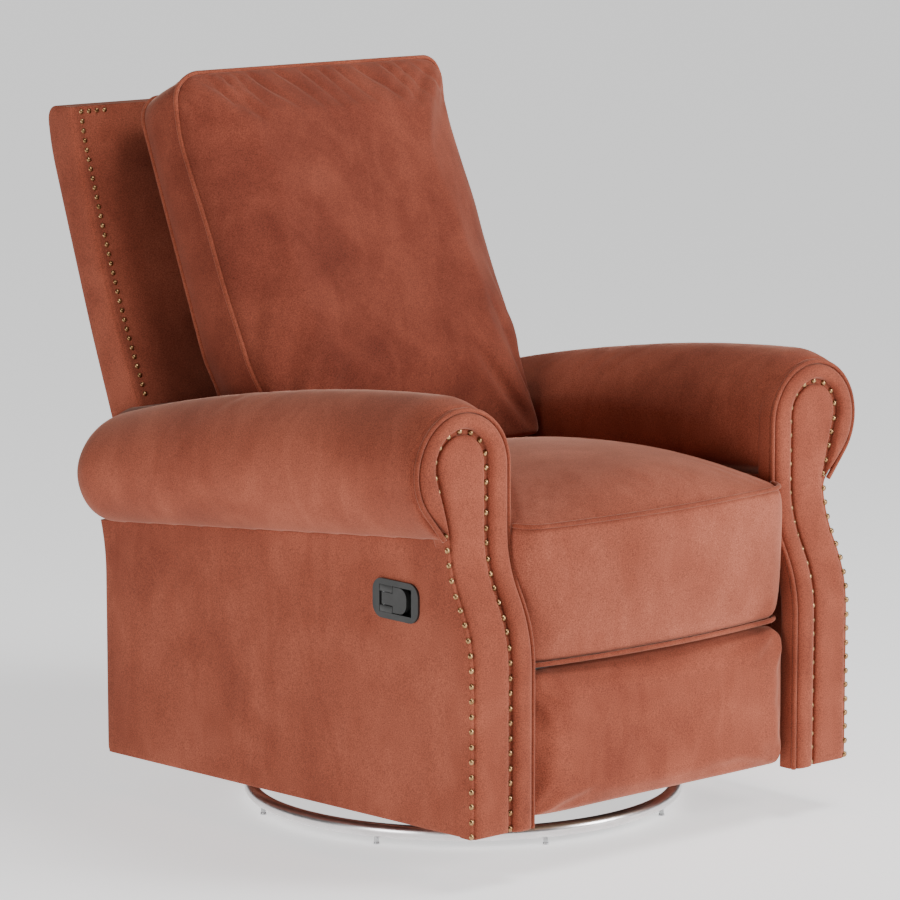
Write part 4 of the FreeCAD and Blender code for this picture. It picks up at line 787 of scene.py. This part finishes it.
def balloon(share, centre, size, neck, low):
    """Point on an arch: up the inner side, round the balloon and down to the neck."""
    straight, round_part = 0.5, 0.92
    angle = touch_angle(centre, size, neck)
    if share < straight:
        return centre[0] - size, lerp(low, centre[1], share / straight)
    if share < round_part:
        turn = lerp(math.pi, angle, (share - straight) / (round_part - straight))
        return centre[0] + size * math.cos(turn), centre[1] + size * math.sin(turn)
    touch = (centre[0] + size * math.cos(angle), centre[1] + size * math.sin(angle))
    part = (share - round_part) / (1 - round_part)
    return lerp(touch[0], neck[0], part), lerp(touch[1], neck[1], part)


def balloon_width(z, centre, size, neck):
    """Left and right edge of the arm front's outline at a height."""
    angle = touch_angle(centre, size, neck)
    touch = (centre[0] + size * math.cos(angle), centre[1] + size * math.sin(angle))
    reach = math.sqrt(max(size ** 2 - (z - centre[1]) ** 2, 0))
    left = centre[0] - (reach if z > centre[1] else size)
    if z > touch[1]:
        right = centre[0] + reach
    elif z > neck[1]:
        right = lerp(neck[0], touch[0], (z - neck[1]) / (touch[1] - neck[1]))
    else:
        right = neck[0]
    return left, right


# %% Arm front board, border and placard
BOARD_THICK = 24
BORDER_FULL = 12
PLACARD_FULL = 6.5


def board_rule(u, v, w):
    z = lerp(ARM_FLOOR, ROLL_CENTRE[1] + ROLL_SIZE - 0.3, v)
    left, right = balloon_width(z, ROLL_CENTRE, ROLL_SIZE, (OUTER_X, 478))
    return on_front(lerp(left, right, u), z, lerp(-BOARD_THICK + 1, -0.4, w))


def border_rule(u, v, w):
    outer = balloon(v, ROLL_CENTRE, ROLL_SIZE - 6.5, (361, 482), ARM_FLOOR)
    inner = balloon(v, NAIL_CENTRE, NAIL_SIZE + 3.2, (364.5, 482), ARM_FLOOR)
    fade = min((1 - v) / 0.05, 1)
    ahead = 1.5 + (BORDER_FULL - 1.5) * swell(2 * u - 1, 3) * math.sqrt(fade)
    return on_front(lerp(outer[0], inner[0], u), lerp(outer[1], inner[1], u), lerp(-2, ahead, w))


def placard_rule(u, v, w):
    z = lerp(ARM_FLOOR, NAIL_CENTRE[1] + NAIL_SIZE - 5.2, v)
    left, right = balloon_width(z, NAIL_CENTRE, NAIL_SIZE - 4.5, (OUTER_X - 6.5, 483))
    ahead = 1.5 + (PLACARD_FULL - 1.5) * swell(2 * u - 1, 5) * swell(2 * v - 1, 40)
    return on_front(lerp(left, right, u), z, lerp(-2, ahead, w))


arm_board = new_piece("arm_front_cover_left", shaped_block((10, 60, 3), board_rule), VELVET, "chair",
                      ("arm_front_left",), 1)
arm_border = new_piece("arm_border_cover_left",
                       shaped_block((10, 110, 2), border_rule, (True, False, True)),
                       VELVET, "chair", ("arm_border_left",), 1)
arm_placard = new_piece("arm_placard_cover_left", shaped_block((10, 90, 2), placard_rule), VELVET, "chair",
                        ("arm_placard_left",), 1)

# %% Arm front piping and nails
NAIL_PITCH = 20.7
NAIL_HEAD = 4.4
NAIL_TALL = 3.0


def arm_piping_points():
    spots = []
    for k in range(121):
        x, z = balloon(k / 120, ROLL_CENTRE, ROLL_SIZE - 3, (OUTER_X + 6, 480), ARM_FLOOR)
        spots.append(on_front(x, z, 3.2))
    return spots


def nail_row_points():
    """Evenly spaced places of the nails round the placard."""
    path = [balloon(k / 600, NAIL_CENTRE, NAIL_SIZE, (OUTER_X - 1, 483), ARM_FLOOR + 5) for k in range(601)]
    path += [(OUTER_X - 1, lerp(483, ARM_FLOOR + 5, k / 300)) for k in range(1, 301)]
    line = [on_front(x, z, 0.3) for x, z in path]
    length = sum((b - a).length for a, b in zip(line, line[1:]))
    step = length / round(length / NAIL_PITCH)
    spots = [line[0]]
    gone = 0.0
    for first, second in zip(line, line[1:]):
        gone += (second - first).length
        if gone >= step * 0.9999 * len(spots):
            spots.append(second)
    return spots


def add_nails(name, spots, outward, body, replaced, head=NAIL_HEAD, tall=NAIL_TALL):
    """Domed nail heads: the upper half of a squashed ball, a few dozen faces each."""
    bm = bmesh.new()
    for spot in spots:
        turn = outward(spot).to_track_quat("Z", "Y").to_matrix().to_4x4()
        place = Matrix.Translation(Vector(spot) * MM) @ turn
        squash = Matrix.Diagonal((head * MM, head * MM, tall * MM, 1))
        made = bmesh.ops.create_uvsphere(bm, u_segments=12, v_segments=8, radius=1,
                                         matrix=place @ squash)
        low = [v for v in made["verts"] if (place.inverted() @ v.co).z < -tall * MM * 0.2]
        bmesh.ops.delete(bm, geom=low, context="VERTS")
    return new_piece(name, bm, BRASS, body, replaced)


def front_normal(spot):
    return (on_front(spot.x, spot.z, 1) - on_front(spot.x, spot.z, 0)).normalized()


arm_cord = piping("arm_piping_left", arm_piping_points(), "chair", ("arm_welt_left",))
arm_spots = nail_row_points()
arm_nails = add_nails("arm_nails_left", arm_spots, front_normal, "chair", ("arm_nails",))
print(len(arm_spots), "nails round each arm front")

# %% [markdown]
# ## Arm rolls and panels
# The roll is a padded log that swells right behind the arm's front, falls gently towards the
# rear and ends in a round cap. The panels under it are cloth over board, a little full.

# %% Arm roll
ROLL_FRONT = FRONT_HIGH + 2
ROLL_REAR = 357
ROLL_DOME = 60
ROLL_X = 341


def roll_under(y):
    return 478 - 0.1 * (y - FRONT_HIGH)


def roll_top(y):
    back = max(y - FRONT_HIGH - 33, 0)
    rise = min(max((y - FRONT_HIGH) / 33, 0), 1)
    return 658.5 + 12 * rise - 0.0266 * back - 0.000178 * back * back


def arc_through(first, middle, last, share):
    """Point on the circle through three points of the x-z plane."""
    (ax, az), (bx, bz), (cx, cz) = first, middle, last
    d = 2 * (ax * (bz - cz) + bx * (cz - az) + cx * (az - bz))
    a2, b2, c2 = ax * ax + az * az, bx * bx + bz * bz, cx * cx + cz * cz
    ox = (a2 * (bz - cz) + b2 * (cz - az) + c2 * (az - bz)) / d
    oz = (a2 * (cx - bx) + b2 * (ax - cx) + c2 * (bx - ax)) / d
    start = math.atan2(az - oz, ax - ox)
    turn = (math.atan2(cz - oz, cx - ox) - start) % (2 * math.pi)
    size = math.hypot(ax - ox, az - oz)
    angle = start + turn * share
    return ox + size * math.cos(angle), oz + size * math.sin(angle)


def roll_outline(turn, y):
    """Point round the roll's cross-section, from the neck over the outside and the top."""
    top, under = roll_top(y), roll_under(y)
    centre_z = under + (top - under) * 93 / 179
    rise, fall = top - centre_z, centre_z - under
    slant = math.cos(math.radians(45))
    neck = (OUTER_X + 1, under)
    right = (ROLL_X + ROLL_SIZE, centre_z)
    crest = (ROLL_X, top)
    left = (ROLL_X - ROLL_SIZE, centre_z)
    inner = (ROLL_X - ROLL_SIZE + 3, centre_z - fall * 0.72)
    if turn < 0.22:
        middle = (ROLL_X + ROLL_SIZE * slant + 5, centre_z - fall * 0.66)
        return arc_through(neck, middle, right, turn / 0.22)
    if turn < 0.45:
        middle = (ROLL_X + ROLL_SIZE * slant, centre_z + rise * slant)
        return arc_through(right, middle, crest, (turn - 0.22) / 0.23)
    if turn < 0.68:
        middle = (ROLL_X - ROLL_SIZE * slant, centre_z + rise * slant)
        return arc_through(crest, middle, left, (turn - 0.45) / 0.23)
    if turn < 0.82:
        share = (turn - 0.68) / 0.14
        return lerp(left[0], inner[0], share), lerp(left[1], inner[1], share)
    share = (turn - 0.82) / 0.18
    return lerp(inner[0], neck[0], share), lerp(inner[1], neck[1], share)


def roll_rule(u, v, w):
    a, b = 2 * v - 1, 2 * w - 1
    reach = max(abs(a), abs(b), 1e-6)
    a, b = a / reach, b / reach
    if b <= -0.999999:
        turn = (a + 1) / 8
    elif a >= 0.999999:
        turn = 0.25 + (b + 1) / 8
    elif b >= 0.999999:
        turn = 0.5 + (1 - a) / 8
    else:
        turn = 0.75 + (1 - b) / 8
    y = lerp(ROLL_FRONT, ROLL_REAR, u)
    over = max(y - (ROLL_REAR - ROLL_DOME), 0) / ROLL_DOME
    shrink = 0.25 + 0.75 * math.sqrt(max(1 - over ** 2.2, 0))
    x, z = roll_outline(turn % 1, y)
    top, under = roll_top(y), roll_under(y)
    pivot = Vector((ROLL_X, y, lerp(under, top, 0.42)))
    away = (Vector((x, y, z)) - pivot) * reach
    away.x *= shrink
    away.z *= shrink if away.z > 0 else 0.55 + 0.45 * shrink
    return pivot + away


arm_roll = new_piece("arm_roll_cover_left", shaped_block((44, 14, 14), roll_rule, (True, False, False)),
                     VELVET, "chair", ("arm_roll_left",))
neck_line = [Vector((OUTER_X + 1, y, roll_under(y))) for y in (ROLL_FRONT, -200, 0, 200, ROLL_REAR - 40)]
puff(arm_roll, sewn_points([neck_line]),
     lambda x, y, z: y < ROLL_FRONT + 9 or z < roll_under(y) + 14 and x < OUTER_X, cap=6, pressure=3.0)
soften(arm_roll, 1)

# %% Arm panels
ARM_REAR = 331
PANEL = 12
REAR_CORNER = 8
FLARE = 12
FLARE_FROM = 330
FLARE_RUN = 75
HANDLE_Y = -322
HANDLE_Z = 382.5
HANDLE_OPENING = (77, 46)


def arm_floor(y):
    return lerp(ARM_FLOOR, 57, (y - FRONT_HIGH) / (ARM_REAR - FRONT_HIGH))


def side_rule(u, v, w):
    """Outer panel: a guess at the height gives the depth, and that gives the height itself."""
    along, upright = 2 * u - 1, 2 * v - 1
    guess = lerp(arm_floor(-200), roll_under(-50), v)
    y = lerp(on_front(0, guess, 0.4).y, ARM_REAR, u)
    z = lerp(arm_floor(y), roll_under(y) + 2, v)
    flare = FLARE * max((z - FLARE_FROM) / FLARE_RUN, 0) ** 2 if z < FLARE_FROM + FLARE_RUN else FLARE
    short = max(REAR_CORNER - (z - arm_floor(y)), 0)
    corner = REAR_CORNER - math.sqrt(max(REAR_CORNER ** 2 - short ** 2, 0))
    y = lerp(on_front(0, z, 0.4).y, ARM_REAR + flare * (u > 0.5) - corner, u)
    full = 3.2 * swell(along, 10) * swell(upright, 8)
    ripple = 1.4 * noise.noise(Vector((y * 0.006, z * 0.008, 4.0))) * swell(along, 4) * swell(upright, 4)
    return Vector((lerp(OUTER_X - PANEL, OUTER_X - 0.5 + full + ripple, w), y, z))


def rear_fold_rule(u, v, w):
    x = lerp(INNER_X + 0.5, OUTER_X - 1, u)
    z = lerp(arm_floor(ARM_REAR), roll_under(ARM_REAR) + 2, v)
    full = 2.5 * swell(2 * u - 1, 4) * swell(2 * v - 1, 8)
    return Vector((x, lerp(ARM_REAR - PANEL, ARM_REAR - 1 + full, w), z))


def inner_rule(u, v, w):
    y = lerp(ROLL_FRONT, ARM_REAR - PANEL - 1, u)
    z = lerp(arm_floor(y), roll_under(y) + 20, v)
    full = 1.5 * swell(2 * u - 1, 6) * swell(2 * v - 1, 6)
    return Vector((lerp(INNER_X + PANEL, INNER_X + 1 - full * 0.5, w), y, z))


def cut_for_handle(piece):
    """Pull the cloth flat round the handle and cut its opening through the panel."""
    for vert in piece.data.vertices:
        x, y, z = vert.co / MM
        near = math.exp(-((y - HANDLE_Y) / 85) ** 4 - ((z - HANDLE_Z) / 60) ** 4)
        if x < -OUTER_X + 4:
            vert.co.x = lerp(x, -OUTER_X + 0.5, near) * MM
    bm = bmesh.new()
    bmesh.ops.create_cube(bm, size=1, matrix=Matrix.Translation(Vector((-OUTER_X, HANDLE_Y, HANDLE_Z)) * MM)
                          @ Matrix.Diagonal((0.08, HANDLE_OPENING[0] * MM, HANDLE_OPENING[1] * MM, 1)))
    cutter_mesh = bpy.data.meshes.new("handle_opening")
    bm.to_mesh(cutter_mesh)
    bm.free()
    cutter = bpy.data.objects.new("handle_opening", cutter_mesh)
    bpy.context.scene.collection.objects.link(cutter)
    cut = piece.modifiers.new("Opening", "BOOLEAN")
    cut.operation = "DIFFERENCE"
    cut.object = cutter
    bpy.context.view_layer.update()
    opened = bpy.data.meshes.new_from_object(piece.evaluated_get(bpy.context.evaluated_depsgraph_get()))
    piece.modifiers.clear()
    piece.data = opened
    bpy.data.objects.remove(cutter)
    print("handle opening cut,", len(opened.polygons), "faces")


arm_side = new_piece("arm_side_left", shaped_block((30, 30, 2), side_rule), VELVET, "chair",
                     ("arm_outer_left",), 1)
arm_rear = new_piece("arm_rear_left", shaped_block((10, 24, 2), rear_fold_rule), VELVET, "chair", (), 1)
arm_inside = new_piece("arm_inside_left", shaped_block((24, 20, 2), inner_rule), VELVET, "chair",
                       ("arm_inner_left",), 1)
for source, other, nodes in ((arm_board, "arm_front_cover_right", ("arm_front_right",)),
                             (arm_border, "arm_border_cover_right", ("arm_border_right",)),
                             (arm_placard, "arm_placard_cover_right", ("arm_placard_right",)),
                             (arm_cord, "arm_piping_right", ("arm_welt_right",)),
                             (arm_nails, "arm_nails_right", ()),
                             (arm_roll, "arm_roll_cover_right", ("arm_roll_right",)),
                             (arm_side, "arm_side_right", ("arm_outer_right",)),
                             (arm_rear, "arm_rear_right", ()),
                             (arm_inside, "arm_inside_right", ("arm_inner_right",))):
    copy = mirrored_piece(source, other, "chair", nodes)
    if source is arm_side:
        cut_for_handle(copy)
print("arms mirrored")

# %% [markdown]
# ## Cheeks of the release handle
# The paddle is a T that lies flush in its housing. The moulded face closes in on both sides of
# its stem, which two bevelled cheeks do here; the finger hollow stays open ahead of the paddle.

# %% Handle cheeks
CHEEK_DEPTH = (-369.3, -358)
CHEEK_RUN = (-315, -289)
CHEEK_RISE = (9.4, 19.2)
CHEEK_BEVEL = 0.7


def make_cheeks():
    bm = bmesh.new()
    for side in (-1, 1):
        low, high = sorted((HANDLE_Z + side * CHEEK_RISE[0], HANDLE_Z + side * CHEEK_RISE[1]))
        middle = Vector((sum(CHEEK_DEPTH) / 2, sum(CHEEK_RUN) / 2, (low + high) / 2)) * MM
        size = Vector((CHEEK_DEPTH[1] - CHEEK_DEPTH[0], CHEEK_RUN[1] - CHEEK_RUN[0], high - low)) * MM
        bmesh.ops.create_cube(bm, size=1, matrix=Matrix.Translation(middle) @ Matrix.Diagonal((*size, 1)))
    bmesh.ops.bevel(bm, geom=bm.edges[:], offset=CHEEK_BEVEL * MM, segments=2, profile=0.5,
                    affect="EDGES", material=-1)
    return new_piece("handle_cheeks", bm, HANDLE_PLASTIC, "chair")


print("handle cheeks", len(make_cheeks().data.polygons), "faces")

# %% [markdown]
# ## Back
# Above the arms the back is as wide as the arms are apart outside; below them it is narrow. Its
# front face leans away from the cushion, with a row of small nails close to each edge.

# %% Back shell
WING_HALF = 343
WING_FRONT = [(560, 273), (587, 283), (685, 328), (782, 365), (885, 400), (956, 423), (1003, 432)]
WING_REAR = [(550, 339), (579, 350), (679, 388), (776, 422), (880, 458), (938, 477), (1003, 489)]
WING_LOW = [(0, 577), (0.35, 571.5), (1, 552.5)]
WING_TOP = 1004
WING_ROUND = 24


def wing_rule(u, v, w):
    across = 2 * u - 1
    z = lerp(smooth_along(WING_LOW, v), WING_TOP, w)
    front = smooth_along(WING_FRONT, z)
    rear = smooth_along(WING_REAR, z)
    over = max(z - (WING_TOP - WING_ROUND), 0)
    rear -= WING_ROUND - math.sqrt(WING_ROUND ** 2 - over ** 2)
    side = 3 * swell(2 * v - 1, 4) * swell(2 * w - 1, 8)
    y = lerp(front, rear, v)
    if v > 0.999:
        y += 3 * swell(across, 6) * swell(2 * w - 1, 6)
    if v < 0.001:
        edge = (1 - abs(across)) * WING_HALF
        y += 2.5 * math.exp(-((edge - 20) / 5) ** 2)
        y -= 2.0 * math.exp(-((edge - 9) / 6) ** 2)
    return Vector((across * WING_HALF + math.copysign(side, across) * (abs(across) > 0.999), y, z))


def lower_back_rule(u, v, w):
    across = 2 * u - 1
    z = lerp(349, 605, w)
    front = 200 + 0.359 * (z - 346)
    rear = 271 + 0.338 * (z - 346)
    y = lerp(front, rear, v)
    if v > 0.999:
        y += 2 * swell(across, 4) * swell(2 * w - 1, 6)
    return Vector((across * 216, y, z))


new_piece("back_wings", shaped_block((40, 10, 40), wing_rule), VELVET, "backrest", ("back_cover",), 1)
new_piece("lower_back", shaped_block((24, 8, 16), lower_back_rule), VELVET, "backrest", (), 1)
print("back shell", round(2 * WING_HALF), "mm wide above the arms")

# %% Back nails
BACK_PITCH = 14.3
BACK_INSET = 20
BACK_NAIL_TOP = 996.0
BACK_NAIL_LOW = 590
BACK_HEAD = 4.3
BACK_TALL = 2.8


def back_spot(x, z):
    return Vector((x, smooth_along(WING_FRONT, z) + 1.2, z))


def back_normal(spot):
    slope = (smooth_along(WING_FRONT, spot.z + 5) - smooth_along(WING_FRONT, spot.z - 5)) / 10
    return Vector((0, -1, slope)).normalized()


def back_nail_places():
    places = []
    for side in (-1, 1):
        x = side * (WING_HALF - BACK_INSET)
        z = BACK_NAIL_TOP
        while z > BACK_NAIL_LOW:
            places.append(back_spot(x, z))
            slope = (smooth_along(WING_FRONT, z) - smooth_along(WING_FRONT, z - 10)) / 10
            z -= BACK_PITCH / math.sqrt(1 + slope * slope)
        places += [back_spot(x - side * BACK_PITCH * k, BACK_NAIL_TOP) for k in range(1, 4)]
    return places


back_spots = back_nail_places()
add_nails("back_nail_heads", back_spots, back_normal, "backrest", ("back_nails",), BACK_HEAD, BACK_TALL)
print(len(back_spots), "nails on the back")

# %% [markdown]
# A low panel closes the chair's body at the rear, between the two arms. It is cloth over board
# like the arm panels, and a little full.

# %% Rear panel
REAR_PANEL_HALF = 252
REAR_PANEL_LOW = 57.5
REAR_PANEL_TOP = 350


def rear_panel_rule(u, v, w):
    across = 2 * u - 1
    full = 2 * swell(across, 8) * swell(2 * v - 1, 4)
    return Vector((across * REAR_PANEL_HALF, lerp(ARM_REAR - PANEL, ARM_REAR - 0.5 + full, w),
                   lerp(REAR_PANEL_LOW, REAR_PANEL_TOP, v)))


new_piece("rear_panel_cover", shaped_block((24, 14, 2), rear_panel_rule), VELVET, "chair",
          ("rear_panel",), 1)
print("rear panel", REAR_PANEL_TOP - REAR_PANEL_LOW, "mm high")

# %% [markdown]
# ## Floor ring
# The ring is bright and round, so it is spun here as a smooth tube instead of showing facets.

# %% Floor ring
RING_PLACE = Vector((0, -49, 20.5))
RING_SIZE = 312
RING_TUBE = 10.5
RING_STEPS = 128


def make_ring():
    bm = bmesh.new()
    section = bmesh.ops.create_circle(bm, cap_ends=False, segments=20, radius=RING_TUBE * MM,
                                      matrix=Matrix.Translation((RING_SIZE * MM, 0, 0))
                                      @ Matrix.Rotation(math.pi / 2, 4, "X"))
    edges = list({e for v in section["verts"] for e in v.link_edges})
    bmesh.ops.spin(bm, geom=section["verts"] + edges, cent=(0, 0, 0), axis=(0, 0, 1), angle=2 * math.pi,
                   steps=RING_STEPS, use_merge=True)
    bmesh.ops.remove_doubles(bm, verts=bm.verts, dist=0.00001)
    bmesh.ops.recalc_face_normals(bm, faces=bm.faces)
    bmesh.ops.translate(bm, vec=RING_PLACE * MM, verts=bm.verts)
    return new_piece("floor_ring", bm, CHROME, "base", ("base_ring",))


print("floor ring", len(make_ring().data.polygons), "faces")

# %% [markdown]
# The ring stands on eight short steel studs. Each is a turned pin with a small round foot.

# %% Floor studs
STUD_COUNT = 8
STUD_TURN = 2.5
STUD_STEM = 3.4
STUD_FOOT = 4.4


def make_studs():
    bm = bmesh.new()
    for k in range(STUD_COUNT):
        angle = math.radians(360 * (k + 0.5) / STUD_COUNT + STUD_TURN)
        foot = Vector((RING_SIZE * math.cos(angle), RING_SIZE * math.sin(angle) + RING_PLACE.y, 0))
        for size, low, top in ((STUD_FOOT, 0, 3), (STUD_STEM, 3, 13)):
            turned = Matrix.Translation((foot + Vector((0, 0, (low + top) / 2))) * MM)
            bmesh.ops.create_cone(bm, cap_ends=True, segments=20, radius1=size * MM,
                                  radius2=size * 0.93 * MM, depth=(top - low) * MM, matrix=turned)
    edges = [e for e in bm.edges if len(e.link_faces) == 2 and e.calc_face_angle() > 1.2]
    bmesh.ops.bevel(bm, geom=edges, offset=0.4 * MM, segments=2, profile=0.5, affect="EDGES", material=-1)
    return new_piece("floor_studs", bm, ZINC, "base", ("base_glides",))


print("floor studs", len(make_studs().data.polygons), "faces")
